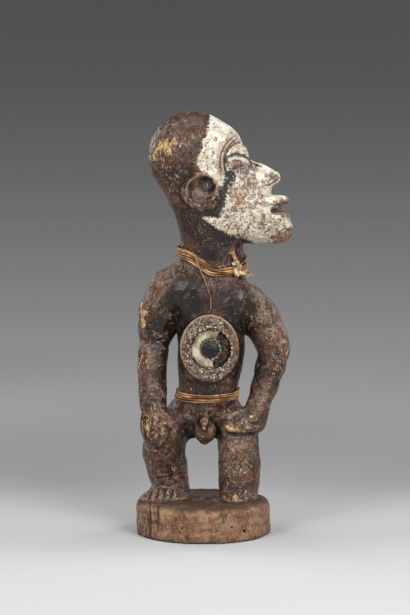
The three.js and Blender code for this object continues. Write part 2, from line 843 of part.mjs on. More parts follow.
piece("figure", carvedFigure(), wood);
const belly = new THREE.Group();
belly.applyMatrix4(bellyFrame);
figure.add(belly);
piece("belly_charge", resinCharge(), resin, belly);
piece("belly_ring", brokenRing(), shell, belly);
piece("belly_glass", domedGlass(), glass, belly);
piece("neck_cord", knottedNeckCord(), fibre);
piece("waist_cord", woundCord(waistWinding), fibre);
piece("hanging_thread", tube(threadPoints, threadDiameter / 2, threadSides, threadSteps), fibre);

export default figure;
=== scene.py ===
# %% [markdown]
# # A carved power figure with a belly box
#
# A standing man, carved with his round base from one block of wood. His head is turned and looks up. The face
# is whitened, the belly carries a round box with dark resin, a broken pale ring and a glass, and plant-fibre
# cord is wound round the neck and the waist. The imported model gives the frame: every piece made here stands
# for one of its solids and stays within its box.

# %% Tools and the frame
import json
import math

import bpy
import numpy as np
import openvdb
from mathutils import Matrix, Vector

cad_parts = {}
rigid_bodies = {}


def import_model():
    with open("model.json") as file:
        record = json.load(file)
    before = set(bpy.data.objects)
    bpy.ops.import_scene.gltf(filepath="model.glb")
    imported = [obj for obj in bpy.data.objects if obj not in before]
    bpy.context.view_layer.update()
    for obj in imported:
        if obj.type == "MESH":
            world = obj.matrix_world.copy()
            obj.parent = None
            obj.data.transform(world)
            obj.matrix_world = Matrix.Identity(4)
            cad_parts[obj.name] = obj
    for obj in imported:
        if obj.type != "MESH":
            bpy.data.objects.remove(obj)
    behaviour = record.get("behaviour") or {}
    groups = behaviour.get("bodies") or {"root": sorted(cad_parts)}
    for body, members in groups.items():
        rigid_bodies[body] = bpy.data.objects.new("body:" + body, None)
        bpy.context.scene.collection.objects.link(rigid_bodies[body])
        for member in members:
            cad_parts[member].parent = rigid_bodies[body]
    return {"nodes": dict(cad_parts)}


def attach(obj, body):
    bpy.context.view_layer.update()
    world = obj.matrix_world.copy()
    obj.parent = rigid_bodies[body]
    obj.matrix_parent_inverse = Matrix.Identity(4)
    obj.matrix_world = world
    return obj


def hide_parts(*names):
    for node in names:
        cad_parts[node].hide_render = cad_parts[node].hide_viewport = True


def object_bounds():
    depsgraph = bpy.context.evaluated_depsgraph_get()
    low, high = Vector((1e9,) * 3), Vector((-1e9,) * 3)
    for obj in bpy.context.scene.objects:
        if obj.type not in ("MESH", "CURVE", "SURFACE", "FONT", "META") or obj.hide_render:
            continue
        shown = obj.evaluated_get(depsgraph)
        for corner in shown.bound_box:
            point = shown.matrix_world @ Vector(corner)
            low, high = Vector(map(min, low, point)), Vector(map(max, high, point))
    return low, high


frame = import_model()
cad_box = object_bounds()
MM = 0.001
print("solids in the packed model:", sorted(frame["nodes"]))
print("CAD box in millimetres:", [[round(v / MM, 1) for v in corner] for corner in cad_box])

# %% [markdown]
# ## Camera
#
# The photograph was taken from a little above the waist with a long lens, so the base shows its top as a
# narrow ellipse. A long lens set back by 1.4 m gives the same narrow ellipse. The sensor's long side is
# upright, as the picture is.

# %% Camera
CAMERA_PLACE = Vector((1.4, -1400, 272)) * MM
CAMERA_AIM = Vector((1.4, 0, 187.9)) * MM
LENS_MM = 98.7
SENSOR_MM = 36


def add_object(name, data):
    """A new object in the scene"""
    made = bpy.data.objects.new(name, data)
    bpy.context.collection.objects.link(made)
    return made


def look_from(made, place, aim):
    """Sets a camera or a light at a place, turned towards an aim"""
    made.location = place
    made.rotation_euler = (Vector(aim) - Vector(place)).to_track_quat("-Z", "Y").to_euler()


camera_data = bpy.data.cameras.new("photo_camera")
camera_data.lens = LENS_MM
camera_data.sensor_fit = "VERTICAL"
camera_data.sensor_height = SENSOR_MM
camera = add_object("photo_camera", camera_data)
look_from(camera, CAMERA_PLACE, CAMERA_AIM)
bpy.context.scene.camera = camera
bpy.context.scene.view_settings.view_transform = "Standard"
print("camera", tuple(round(v, 3) for v in CAMERA_PLACE))

# %% [markdown]
# ## Shader arithmetic
#
# A finish is a tree of nodes. Wiring it by hand hides what it works out, so one small class wraps a socket
# and lets ordinary arithmetic add the Math nodes, and one method adds any other node.


# %% A socket that can be calculated with
NEAR_CORE = 0.4


class Value:
    """A value that varies over a surface: a socket of a material's node tree."""

    def __init__(self, finish, socket):
        self.finish = finish
        self.socket = socket

    def math(self, operation, *values, clamp=False):
        """A Math node on values, which may be sockets or numbers"""
        settings = {"operation": operation, "use_clamp": clamp}
        return self.finish.node("ShaderNodeMath", settings, dict(enumerate(values)))

    def __add__(self, other):
        return self.math("ADD", self, other)

    def __sub__(self, other):
        return self.math("SUBTRACT", self, other)

    def __rsub__(self, other):
        return self.math("SUBTRACT", other, self)

    def __mul__(self, other):
        return self.math("MULTIPLY", self, other)

    def __truediv__(self, other):
        return self.math("DIVIDE", self, other)

    def __pow__(self, other):
        return self.math("POWER", self, other)

    __radd__ = __add__
    __rmul__ = __mul__

    def held(self):
        """The value kept between 0 and 1"""
        return self.math("ADD", self, 0, clamp=True)

    def between(self, low, high):
        """0 below one limit and 1 above the other, with a smooth rise"""
        inputs = {"Value": self, "From Min": low, "From Max": high}
        return self.finish.node("ShaderNodeMapRange", {"interpolation_type": "SMOOTHSTEP"}, inputs)

    def near(self, level, width):
        """1 close to a level and 0 further off than a width, which draws a line round each patch"""
        off = self - level
        return 1 - off.math("ABSOLUTE", off).between(NEAR_CORE * width, width)


# %% A finish
class Finish:
    """A material made of nodes, with a Principled shader at its end."""

    def __init__(self, name):
        self.material = bpy.data.materials.new(name)
        self.material.use_nodes = True
        self.tree = self.material.node_tree
        self.tree.nodes.clear()
        self.shader = self.tree.nodes.new("ShaderNodeBsdfPrincipled")
        output = self.tree.nodes.new("ShaderNodeOutputMaterial")
        self.tree.links.new(self.shader.outputs[0], output.inputs["Surface"])
        self.place = self.node("ShaderNodeTexCoord", out="Object")

    def node(self, kind, settings=(), inputs=(), out=0):
        """Any node: its kind, its settings, its inputs as links or numbers, and the output that is wanted"""
        made = self.tree.nodes.new(kind)
        for name, value in dict(settings).items():
            setattr(made, name, value)
        self.feed(made, inputs)
        return Value(self, made.outputs[out])

    def feed(self, made, inputs):
        """Links values to a node's sockets, and sets plain numbers on them"""
        for name, value in dict(inputs).items():
            if isinstance(value, Value):
                self.tree.links.new(value.socket, made.inputs[name])
            else:
                made.inputs[name].default_value = value

    def attribute(self, name):
        """A value that the mesh keeps on its points"""
        return self.node("ShaderNodeAttribute", {"attribute_name": name}, out="Fac")

    def noise(self, size_mm, detail=3, roughness=0.55, stretch=None, distortion=0):
        """Cloudy values round 0.5, with patches of about one size in millimetres"""
        place = self.place
        if stretch:
            place = self.node("ShaderNodeMapping", inputs={"Vector": place, "Scale": stretch})
        inputs = {"Vector": place, "Scale": 1 / (size_mm * MM), "Detail": detail}
        inputs |= {"Roughness": roughness, "Distortion": distortion}
        return self.node("ShaderNodeTexNoise", inputs=inputs, out="Fac")

    def mix(self, factor, under, over):
        """One colour laid over another: a value, or red, green and blue as a picture shows them"""
        under, over = (shade if isinstance(shade, Value) else colour(*shade) for shade in (under, over))
        return self.node("ShaderNodeMix", {"data_type": "RGBA"}, {0: factor, 6: under, 7: over}, out=2)

    def blend(self, value, low, high, first, second):
        """From one colour to another as a value rises between two limits"""
        return self.mix(value.between(low, high), first, second)

    def layers(self, shade, *coats):
        """Coats laid over a first colour in turn: for each, how much of it lies there and its colour"""
        for factor, over in coats:
            shade = self.mix(factor, shade, over)
        return shade

    def ramp(self, value, stops):
        """Grey levels at stops along a value"""
        made = self.node("ShaderNodeValToRGB", inputs={"Fac": value})
        set_stops(made.socket.node.color_ramp, stops)
        return made

    def bump(self, height, depth_mm):
        """Fine relief, as deep as a height of one stands for"""
        inputs = {"Height": height, "Distance": depth_mm * MM, "Strength": 1.0}
        return self.node("ShaderNodeBump", inputs=inputs, out="Normal")

    def finish(self, **sockets):
        """Feeds the shader's sockets, named with underscores for spaces"""
        self.feed(self.shader, {name.replace("_", " "): value for name, value in sockets.items()})


def set_stops(ramp, stops):
    """Places a ramp's grey levels, with a smooth line through them"""
    ramp.interpolation = "B_SPLINE"
    while len(ramp.elements) < len(stops):
        ramp.elements.new(0.5)
    for element, (position, level) in zip(ramp.elements, stops):
        element.position = position
        element.color = (level, level, level, 1)


def colour(red, green, blue):
    """A colour as a picture shows it, from 0 to 255, made linear for the shader"""
    shown = [v / 255 for v in (red, green, blue)]
    return [v / 12.92 if v < 0.04045 else ((v + 0.055) / 1.055) ** 2.4 for v in shown] + [1.0]


# %% [markdown]
# ## Floor, backdrop and light
#
# The figure stands on a pale, plain floor. A studio's light falls away behind the object, which turns the far
# floor and the backdrop grey. The floor's own colour does that here, along the line away from the camera, so
# no wall is needed that would hide the figure from behind.

# %% Floor
FLOOR_HALF = 40.0
STEP_BACK = 1.4
NEAREST_FLOOR = 0.3
FLOOR_TONES = [
    (0.00, 0.47), (0.20, 0.53), (0.30, 0.61), (0.38, 0.56), (0.47, 0.38), (0.53, 0.34), (0.60, 0.36),
    (0.64, 0.49), (0.69, 0.575), (0.73, 0.52), (0.78, 0.69), (0.86, 0.645), (1.00, 0.64),
]
# The far floor also glows a little: painted light, in place of the studio's light there
FLOOR_GLOW = [
    (0.00, 0.036), (0.10, 0.064), (0.16, 0.082), (0.22, 0.090), (0.29, 0.097), (0.38, 0.038), (0.47, 0.000),
]
floor_mesh = bpy.data.meshes.new("floor")
corners = [(x * FLOOR_HALF, y * FLOOR_HALF, 0) for x, y in [(-1, -1), (1, -1), (1, 1), (-1, 1)]]
floor_mesh.from_pydata(corners, [], [(0, 1, 2, 3)])
floor = add_object("floor", floor_mesh)

paper = Finish("floor_paper")
away = paper.node("ShaderNodeSeparateXYZ", inputs={0: paper.place}, out="Y") + STEP_BACK
nearness = away.math("MAXIMUM", away, NEAREST_FLOOR) ** -1
shade = paper.ramp(nearness, FLOOR_TONES)
glow = paper.ramp(nearness, FLOOR_GLOW)
paper.finish(Base_Color=shade, Emission_Color=glow, Emission_Strength=1)
paper.finish(Roughness=0.9, Specular_IOR_Level=0.2)
floor_mesh.materials.append(paper.material)
print(f"floor: {2 * FLOOR_HALF:.0f} m wide, {len(FLOOR_TONES)} tones along it")

# %% Backdrop
AMBIENT = 0.22
BACKDROP_TONES = [(0.000, 110), (0.015, 102), (0.033, 97), (0.050, 92), (0.075, 85), (0.120, 78)]
world = bpy.data.worlds.new("studio")
bpy.context.scene.world = world
world.use_nodes = True
sky = world.node_tree
direction = sky.nodes.new("ShaderNodeTexCoord")
split = sky.nodes.new("ShaderNodeSeparateXYZ")
tones = sky.nodes.new("ShaderNodeValToRGB")
sky.links.new(direction.outputs["Generated"], split.inputs[0])
sky.links.new(split.outputs["Z"], tones.inputs[0])
set_stops(tones.color_ramp, [(height, colour(tone, tone, tone)[0]) for height, tone in BACKDROP_TONES])
seen = sky.nodes.new("ShaderNodeLightPath").outputs["Is Camera Ray"]
choice = sky.nodes.new("ShaderNodeMix")
choice.data_type = "RGBA"
choice.inputs[6].default_value = (AMBIENT, AMBIENT, AMBIENT, 1)
sky.links.new(seen, choice.inputs[0])
sky.links.new(tones.outputs[0], choice.inputs[7])
sky.links.new(choice.outputs[2], sky.nodes["Background"].inputs["Color"])
print(f"backdrop: {len(BACKDROP_TONES)} tones from the horizon up")


# %% Lights
MIDDLE = (0, 0, 0.18)
LIGHTS = {
    "key": ((0.60, -1.05, 0.80), 0.6, 12),
    "fill_left": ((-0.75, -1.05, 0.85), 0.5, 8),
    "rim_left": ((-0.8, 0.7, 0.6), 0.5, 3),
    "rim_right": ((0.9, 0.6, 0.6), 0.5, 3),
    "top": ((0.0, -0.1, 1.3), 0.6, 4),
}
for name, (place, size, watts) in LIGHTS.items():
    soft_box = bpy.data.lights.new(name, "AREA")
    soft_box.size = size
    soft_box.energy = watts
    look_from(add_object(name, soft_box), place, MIDDLE)
print("lights:", list(LIGHTS))

# %% [markdown]
# ## Sculpting with distances
#
# Carved wood has soft joints between round forms, and crisp grooves where the knife went in. Joining meshes
# gives hard seams instead. So the carving is worked out as a field of distances: each limb is a tapering
# ball-ended rod, each muscle an ellipsoid, and a smooth minimum melts them together. The landmarks are in
# thousandths of the carving's height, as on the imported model, measured from the middle of the base's top.

# %% Measures
SHARE = 0.322
BASE_HEIGHT = 28.0
BASE_RADIUS = 56.4
BASE_ROUNDING = 5.5
BASE_FOOT_ROUNDING = 1.2


def spot(x, y, z):
    """A landmark's place in millimetres"""
    return np.array([x * SHARE, y * SHARE, BASE_HEIGHT + z * SHARE])


def smooth_min(a, b, softness):
    """The smaller of two distances, rounded over where they come within a softness of each other"""
    overlap = np.maximum(softness - np.abs(a - b), 0) / softness
    return np.minimum(a, b) - overlap * overlap * softness / 4


# %% Simple forms
TINY = 1e-3


class Form:
    """A form's distance, with a ball that holds all of it"""

    def __init__(self, middle, reach, distance):
        self.middle = middle
        self.reach = reach
        self.distance = distance


def limb(a, b):
    """A rod that tapers from one ball to another: each is x, y, z and radius"""
    start = spot(*a[:3])
    along = spot(*b[:3]) - start
    length = np.linalg.norm(along)
    thick, thin = a[3] * SHARE, b[3] * SHARE

    def distance(p):
        t = np.clip((p - start) @ along / length**2, 0, 1)
        off = p - start - t[..., None] * along
        return np.sqrt((off * off).sum(-1)) - thick - (thin - thick) * t

    return Form(start + along / 2, length / 2 + max(thick, thin), distance)


def chain(*balls):
    """Rods from ball to ball"""
    return [limb(a, b) for a, b in zip(balls, balls[1:])]


def oval(x, y, z, size_x, size_y, size_z, tip=0, turn=0):
    """An ellipsoid, tipped up towards +X by an angle and then turned about Z"""
    middle = spot(x, y, z)
    size = np.array([size_x, size_y, size_z]) * SHARE
    tip, turn = math.radians(tip), math.radians(turn)

    def distance(p):
        off = p - middle
        ahead = off[..., 0] * math.cos(turn) + off[..., 1] * math.sin(turn)
        side = off[..., 1] * math.cos(turn) - off[..., 0] * math.sin(turn)
        u = (ahead * math.cos(tip) + off[..., 2] * math.sin(tip)) / size[0]
        v = side / size[1]
        w = (off[..., 2] * math.cos(tip) - ahead * math.sin(tip)) / size[2]
        near = np.maximum(np.sqrt(u * u + v * v + w * w), TINY)
        slope = np.sqrt((u / size[0]) ** 2 + (v / size[1]) ** 2 + (w / size[2]) ** 2)
        return near * (near - 1) / np.maximum(slope, TINY**2)

    return Form(middle, size.max(), distance)


# %% Trunk: height, x, y, half width and half depth of its sections, in thousandths
TRUNK = [
    (160, 3, 22, 70, 48), (205, 3, 16, 88, 64), (240, 6, 8, 84, 67), (262, 9, 2, 78, 66),
    (280, 11, 0, 76, 66), (300, 14, 0, 77, 67), (345, 18, -1, 84, 72), (397, 21, 0, 87, 74),
    (450, 18, 2, 86, 72), (520, 22, 4, 92, 66), (560, 22, 6, 89, 60), (600, 23, 6, 83, 57),
    (640, 22, 6, 82, 57), (681, 21, 4, 81, 58), (732, 14, 0, 86, 60), (790, -4, 0, 94, 62),
    (830, -10, 0, 84, 56),
]
SQUARENESS = 2.5


def curve_through(table, at, column):
    """A smooth curve through one column of a table whose first column rises"""
    i = 0
    while i < len(table) - 2 and at > table[i + 1][0]:
        i += 1
    a, b = table[i], table[i + 1]
    before, after = table[max(0, i - 1)], table[min(len(table) - 1, i + 2)]
    span = b[0] - a[0]
    t = min(1, max(0, (at - a[0]) / span))
    slope_a = (b[column] - before[column]) / (b[0] - before[0]) * span
    slope_b = (after[column] - a[column]) / (after[0] - a[0]) * span
    ends = (2 * t**3 - 3 * t**2 + 1) * a[column] + (3 * t**2 - 2 * t**3) * b[column]
    return ends + (t**3 - 2 * t**2 + t) * slope_a + (t**3 - t**2) * slope_b


TRUNK_HEIGHTS = np.arange(TRUNK[0][0], TRUNK[-1][0] + 1)
TRUNK_SECTIONS = [[curve_through(TRUNK, h, c) for h in TRUNK_HEIGHTS] for c in (1, 2, 3, 4)]


def trunk_distance(p):
    """How far a point lies from the trunk, whose sections are rounded squares"""
    height = (p[..., 2] - BASE_HEIGHT) / SHARE
    at = np.clip(height, TRUNK[0][0], TRUNK[-1][0])
    x, y, half_width, half_depth = (np.interp(at, TRUNK_HEIGHTS, s) for s in TRUNK_SECTIONS)
    u = np.abs(p[..., 0] / SHARE - x) / half_width
    v = np.abs(p[..., 1] / SHARE - y) / half_depth
    side = ((u**SQUARENESS + v**SQUARENESS) ** (1 / SQUARENESS) - 1) * np.minimum(half_width, half_depth)
    past = np.abs(height - at)
    return np.where(past > 0, np.hypot(np.maximum(side, 0), past), side) * SHARE


print(f"trunk: {len(TRUNK)} sections, {SHARE * (TRUNK[-1][0] - TRUNK[0][0]):.0f} mm tall")

# %% Belly box, its recess and the round base
BOX_MIDDLE = spot(16, 0, 398)
BOX_HALF = (24.25, 27.75)
BOX_FRONT = 29.5
BOX_ROUNDING = 1.6
RECESS_MIDDLE = spot(18, 0, 396)
RECESS_RADIUS = 17.0
RECESS_DEPTH = 6.0
RAGGED = [(0.35, 5, 1), (0.25, 11, 0), (0.15, 23, 2)]


def box_distance(p):
    """How far a point lies from the belly box, an upright oval with a rounded front edge"""
    half_width, half_tall = BOX_HALF[0] - BOX_ROUNDING, BOX_HALF[1] - BOX_ROUNDING
    u, w = (p[..., 0] - BOX_MIDDLE[0]) / half_width, (p[..., 2] - BOX_MIDDLE[2]) / half_tall
    near = np.maximum(np.hypot(u, w), TINY)
    side = near * (near - 1) / np.maximum(np.hypot(u / half_width, w / half_tall), TINY**2)
    front = -p[..., 1] - (BOX_FRONT - BOX_ROUNDING)
    outside = np.hypot(np.maximum(side, 0), np.maximum(front, 0))
    return np.maximum(outside + np.minimum(np.maximum(side, front), 0) - BOX_ROUNDING, p[..., 1])


def recess_distance(p):
    """How far a point lies from the round hollow in the box's front, which has a ragged edge"""
    across, up = p[..., 0] - RECESS_MIDDLE[0], p[..., 2] - RECESS_MIDDLE[2]
    angle = np.arctan2(up, across)
    ragged = sum(depth * np.sin(waves * angle + shift) for depth, waves, shift in RAGGED)
    radius = np.hypot(across, up) - RECESS_RADIUS - np.maximum(ragged, 0)
    return np.maximum(radius, p[..., 1] + BOX_FRONT - RECESS_DEPTH)


def base_distance(p):
    """How far a point lies from the round base"""
    rounding = np.where(p[..., 2] > BASE_HEIGHT / 2, BASE_ROUNDING, BASE_FOOT_ROUNDING)
    side = np.hypot(p[..., 0], p[..., 1]) - BASE_RADIUS + rounding
    end = np.abs(p[..., 2] - BASE_HEIGHT / 2) - BASE_HEIGHT / 2 + rounding
    outside = np.hypot(np.maximum(side, 0), np.maximum(end, 0))
    return outside + np.minimum(np.maximum(side, end), 0) - rounding


# %% [markdown]
# ## The forms of the body
#
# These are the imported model's own forms, and after them the knife work that it leaves out: fingers and toes,
# the lids, the brow's cuts, the nostrils, the edge of the jaw and the folds of the ear.

# %% Body
right_arm = chain(
    (-36, 8, 582, 44), (-90, 8, 542, 50), (-114, 10, 490, 50), (-121, 12, 440, 45), (-125, 14, 412, 40),
)
right_forearm = chain((-129, 0, 384, 40), (-132, -14, 340, 37), (-130, -34, 285, 36), (-128, -48, 250, 35))
right_hand = [oval(-122, -66, 205, 40, 24, 64), limb((-104, -74, 232, 13), (-84, -82, 205, 10))]
left_arm = chain(
    (112, 8, 505, 52), (145, 8, 470, 50), (171, 8, 423, 44), (184, 4, 388, 38), (173, -8, 343, 36),
    (158, -24, 295, 32), (145, -38, 262, 30),
)
left_hand = [
    limb((140, -46, 245, 32), (128, -56, 210, 34)),
    limb((126, -62, 204, 26), (74, -78, 202, 20)),
    limb((136, -60, 238, 15), (66, -84, 222, 11)),
]
right_leg = chain(
    (-46, 18, 208, 46), (-97, -14, 172, 54), (-103, 4, 120, 52), (-94, 14, 78, 50), (-87, 20, 44, 45),
    (-84, 22, 10, 45),
)
right_foot = [limb((-80, 30, 8, 44), (-100, -18, 4, 46)), oval(-104, -34, 0, 63, 34, 32, 0, 12)]
left_leg = chain(
    (50, 18, 208, 46), (90, -26, 190, 50), (90, -26, 140, 50), (94, -22, 90, 52), (92, -26, 48, 50),
    (90, -36, 14, 45), (88, -42, -14, 42),
)
left_calf = [limb((101, 4, 112, 36), (99, 0, 66, 38))]
buttocks = [oval(-44, 50, 212, 52, 48, 54), oval(50, 50, 212, 52, 48, 54)]
chest = [oval(-30, -34, 540, 62, 32, 46), oval(76, -34, 525, 60, 32, 46)]
shoulder_blades = [oval(-26, 44, 525, 50, 34, 52), oval(70, 44, 515, 50, 34, 52)]
sex = [limb((4, -40, 240, 15), (3, -64, 210, 9)), limb((4, -44, 190, 22), (4, -48, 176, 23))]
scrotum = [oval(-8, -52, 182, 15, 18, 20), oval(16, -52, 182, 16, 19, 22)]
scrotum += [limb((4, -52, 170, 17), (4, -52, 159, 10)), limb((2, -68, 208, 8), (1, -76, 193, 6.5))]
mound = [oval(12, -12, -6, 62, 50, 16)]

# Each group of forms, with the softness of its joint
BODY = [
    (14, right_arm + left_arm + right_leg + left_leg + left_calf),
    (4, right_forearm),
    (22, buttocks + chest + shoulder_blades),
    (5, right_hand + left_hand + scrotum),
    (14, sex),
    (10, right_foot + mound),
]
print(f"body: {sum(len(forms) for _, forms in BODY)} forms")

# %% Head
HEAD = [
    (22, [oval(-22, 0, 882, 116, 84, 122, 45), oval(58, 0, 806, 84, 66, 122, 29)]),
    (20, [oval(40, 0, 905, 60, 60, 60), limb((90, 0, 850, 34), (146, 0, 812, 30))]),
    (16, [limb((30, 0, 775, 66), (125, 0, 722, 58)), limb((125, 0, 722, 58), (193, 0, 699, 38))]),
    (14, [oval(123, 0, 782, 50, 46, 42)]),
    (8, [oval(166, 0, 768, 57, 43, 17, 8), oval(166, 0, 734, 59, 42, 17, -3)]),
    (12, [limb((112, 0, 876, 11), (180, 0, 831, 18))]),
    (8, [oval(164, 15, 822, 19, 15, 15, -20)]),
    (6, [oval(84, 42, 880, 31, 25, 38, -12)]),
    (5, [oval(-8, 62, 798, 49, 27, 48)]),
]
HEAD_HOLLOWS = [
    (3, [oval(216, 0, 755, 66, 62, 8), oval(181, 12, 812, 9, 6, 7)]),
    (3, [oval(-2, 99, 800, 45, 32, 43)]),
    (9, [oval(10, 86, 812, 24, 34, 21)]),
    (6, [oval(134, 0, 890, 26, 40, 17, -33)]),
]
TONGUE = [(3, [oval(158, 0, 754, 46, 37, 14)])]
CUTS_ACROSS = 6.6
BROW = {
    "x": 118, "z": 862, "radius": 73, "width": 21, "rise": 5.5, "cut": 0.76,
    "from": 112, "to": 205, "fade": 12, "middle": 160, "slant": 0.012,
}


def brow_band(p):
    """Where a point lies across the brow's arc, from -1 to 1, how far within its ends, and its cuts' depth"""
    dx, dz = p[..., 0] / SHARE - BROW["x"], (p[..., 2] - BASE_HEIGHT) / SHARE - BROW["z"]
    off = 2 * (np.hypot(dx, dz) - BROW["radius"]) / BROW["width"]
    angle = np.degrees(np.arctan2(dz, dx)) % 360
    within = np.clip(np.minimum(angle - BROW["from"], BROW["to"] - angle) / BROW["fade"], 0, 1)
    slanted = off + BROW["slant"] * (angle - BROW["middle"])
    return off, within, 0.5 - 0.5 * np.cos(CUTS_ACROSS * slanted)


def brow_rise(p):
    """A raised band, an arc from the bridge of the nose to the temple, with cuts that run along it"""
    off, within, cut = brow_band(p)
    return BROW["rise"] * SHARE * np.maximum(1 - off * off, 0) * within * (1 - BROW["cut"] * cut)


# %% Knife work on the head, the same on both sides
HEAD_RIDGES = [
    (3, chain((54, 66, 879, 3), (66, 62, 889, 4), (86, 62, 894, 4), (104, 55, 888, 4), (114, 46, 880, 3))),
    (3, chain((-30, 69, 786, 2), (-20, 70, 775, 3), (-2, 70, 769, 3), (16, 71, 775, 2))),
]
HEAD_CUTS = [
    (2, chain(
        (55, 69, 872, 2.5), (68, 66, 882, 3.5), (88, 67, 887, 3.5), (106, 58, 881, 3.5), (113, 50, 874, 2.5),
    )),
    (3, chain((60, 66, 845, 2), (76, 62, 830, 2.5), (100, 53, 827, 2.5), (118, 38, 840, 2))),
    (3, chain((-10, 62, 721, 5), (22, 61, 699, 6), (48, 58, 683, 6), (76, 49, 669, 6), (104, 33, 660, 5))),
    (2, chain((158, 22, 842, 2), (152, 28, 830, 3), (152, 32, 816, 3), (157, 32, 806, 2))),
    (2, chain((-34, 78, 784, 1.5), (-22, 79, 769, 2), (-2, 79, 762, 2), (18, 78, 768, 1.5))),
    (2, chain((150, 44, 763, 2), (158, 43, 756, 3), (166, 42, 750, 3))),
]

# %% Knife work on the body
BODY_CUTS = [
    (3, chain((-147, -80, 222, 3), (-150, -82, 198, 4), (-148, -78, 170, 3))),
    (3, chain((-131, -90, 226, 3), (-131, -93, 198, 5), (-130, -86, 166, 3))),
    (3, chain((-109, -90, 222, 3), (-111, -92, 196, 4.5), (-110, -85, 168, 3))),
    (5, chain((64, -97, 212, 3), (84, -95, 224, 8), (102, -90, 235, 7), (116, -88, 241, 3))),
    (2, chain((124, -82, 178, 3), (98, -86, 176, 3.5), (72, -86, 177, 3))),
    (2, chain((118, -84, 188, 2.5), (92, -92, 187, 3), (72, -92, 186, 2.5))),
    (3, [limb((-130, -47, 29, 2), (-140, -69, 8, 2)), limb((-114, -50, 34, 2), (-121, -74, 6, 2.5))]),
    (3, [limb((-97, -53, 34, 2), (-103, -75, 4, 2.5)), limb((-78, -48, 32, 2), (-82, -69, 4, 2))]),
    (4, chain(
        (-134, -13, 52, 2), (-118, -32, 57, 3), (-96, -39, 60, 3), (-76, -38, 65, 3), (-57, -25, 69, 2),
    )),
    (3, chain(
        (-164, -5, 417, 2), (-150, -27, 414, 3), (-132, -36, 412, 3), (-114, -31, 414, 3), (-97, -22, 418, 2),
    )),
    (3, chain((-157, -10, 143, 2), (-137, -47, 138, 3), (-116, -59, 137, 3), (-98, -66, 143, 2))),
    (2, chain((-6, -88, 196, 2.5), (0, -89, 192, 3), (6, -87, 196, 2.5))),
    (3, chain((26, -70, 490, 2), (24, -73, 530, 4), (22, -66, 566, 2))),
]
EIGHT_SIDES = [(1, 0), (0.7, 0.7), (0, 1), (-0.7, 0.7), (-1, 0), (-0.7, -0.7), (0, -1), (0.7, -0.7), (1, 0)]
BASE_RIDGES = [(2, chain((-143, -98, -4, 2), (-143, -103, -40, 4), (-142, -104, -76, 2)))]
BASE_CUTS = [
    (1, chain((-136, -88, 4, 3), (-135, -112, -8, 3), (-134, -114, -40, 4), (-135, -114, -80, 3))),
    (4, chain((-127, -128, 2, 8), (-125, -130, -40, 9), (-126, -130, -74, 6))),
    (1, chain((-114, -100, 6, 2), (-114, -133, -8, 2.5), (-114, -134, -50, 2))),
    (2, chain((-170, -60, -92, 9), (-145, -104, -93, 11), (-122, -130, -93, 9))),
    (1, [limb((108, -152, -59, 2.6), (100, -130, -59, 2.6)), limb((73, -170, -46, 2), (70, -150, -46, 2))]),
    (1, [limb((-60, -172, -60, 1.8), (-58, -150, -58, 1.8)), limb((150, -96, -40, 2), (140, -90, -40, 2))]),
    (1, chain(*[(87 + 8 * c, -152 + 4.6 * c, -17 + 9 * r, 1.6) for c, r in EIGHT_SIDES])),
]


# %% [markdown]
# ## Filling the field
#
# Working out every form at every point would be slow, and only the points near the surface matter. The space
# is cut into small blocks. Each block's middle is tested first, and only blocks near the surface are filled
# in. A form is then only worked out on the blocks that it can reach.


# %% Blocks of points
FAR = 1e3


class Blocks:
    """Blocks of points with the depth of the wood at each: millimetres, negative inside"""

    def __init__(self, points):
        self.points = points
        self.middle = points.mean(axis=1)
        self.reach = np.sqrt(((points - self.middle[:, None]) ** 2).sum(-1)).max(axis=1)
        self.depth = np.full(points.shape[:2], FAR)

    def add(self, groups, side=1):
        """Melts groups of forms into the wood, each with its softness. On side -1 they are cut away."""
        for softness, forms in groups:
            for form in forms:
                self.melt(form, softness * SHARE, side)

    def melt(self, form, softness, side):
        """Works one form out on the blocks that it can reach"""
        gap = np.sqrt(((self.middle - form.middle) ** 2).sum(-1)) - form.reach - self.reach
        rows = np.flatnonzero(gap < (side * self.depth).max(axis=1) + softness)
        if len(rows):
            near = form.distance(self.points[rows])
            self.depth[rows] = side * smooth_min(side * self.depth[rows], near, softness)


JOINTS = {"box": 4, "head": 8}
HEAD_BLOCKS_FROM = 600
FEET_ON_BASE = 1.0


def head_depth(points):
    """The head alone. It is the same on both sides, so it is worked out on one."""
    head = Blocks(np.stack([points[..., 0], np.abs(points[..., 1]), points[..., 2]], axis=-1))
    head.add(HEAD)
    head.depth -= brow_rise(head.points)
    head.add(HEAD_RIDGES)
    head.add(HEAD_HOLLOWS, side=-1)
    head.add(TONGUE)
    head.add(HEAD_CUTS, side=-1)
    return head.depth


def wood_depth(points):
    """The whole carving: trunk, box, limbs and head, joined to the base, less the hollow"""
    wood = Blocks(points)
    wood.depth = smooth_min(trunk_distance(points), box_distance(points), JOINTS["box"] * SHARE)
    wood.add(BODY)
    wood.add(BODY_CUTS, side=-1)
    high = np.flatnonzero(wood.middle[:, 2] > spot(0, 0, HEAD_BLOCKS_FROM)[2])
    wood.depth[high] = smooth_min(wood.depth[high], head_depth(points[high]), JOINTS["head"] * SHARE)
    base = Blocks(points)
    base.depth = base_distance(points)
    base.add(BASE_RIDGES)
    base.add(BASE_CUTS, side=-1)
    wood.depth = smooth_min(wood.depth, base.depth, FEET_ON_BASE)
    return np.maximum(wood.depth, -recess_distance(points))


# %% Grid
CELL = 0.7
BLOCK = 6
NEAR = 1.6 * CELL * BLOCK * math.sqrt(3) / 2
GRID_LOW = np.array([-61.0, -58.0, -2.1])
GRID_HIGH = np.array([76.5, 58.0, 353.0])


def lattice(*counts):
    """Whole-number places that count along each axis"""
    return np.stack(np.meshgrid(*[np.arange(n) for n in counts], indexing="ij"), axis=-1).reshape(-1, 3)


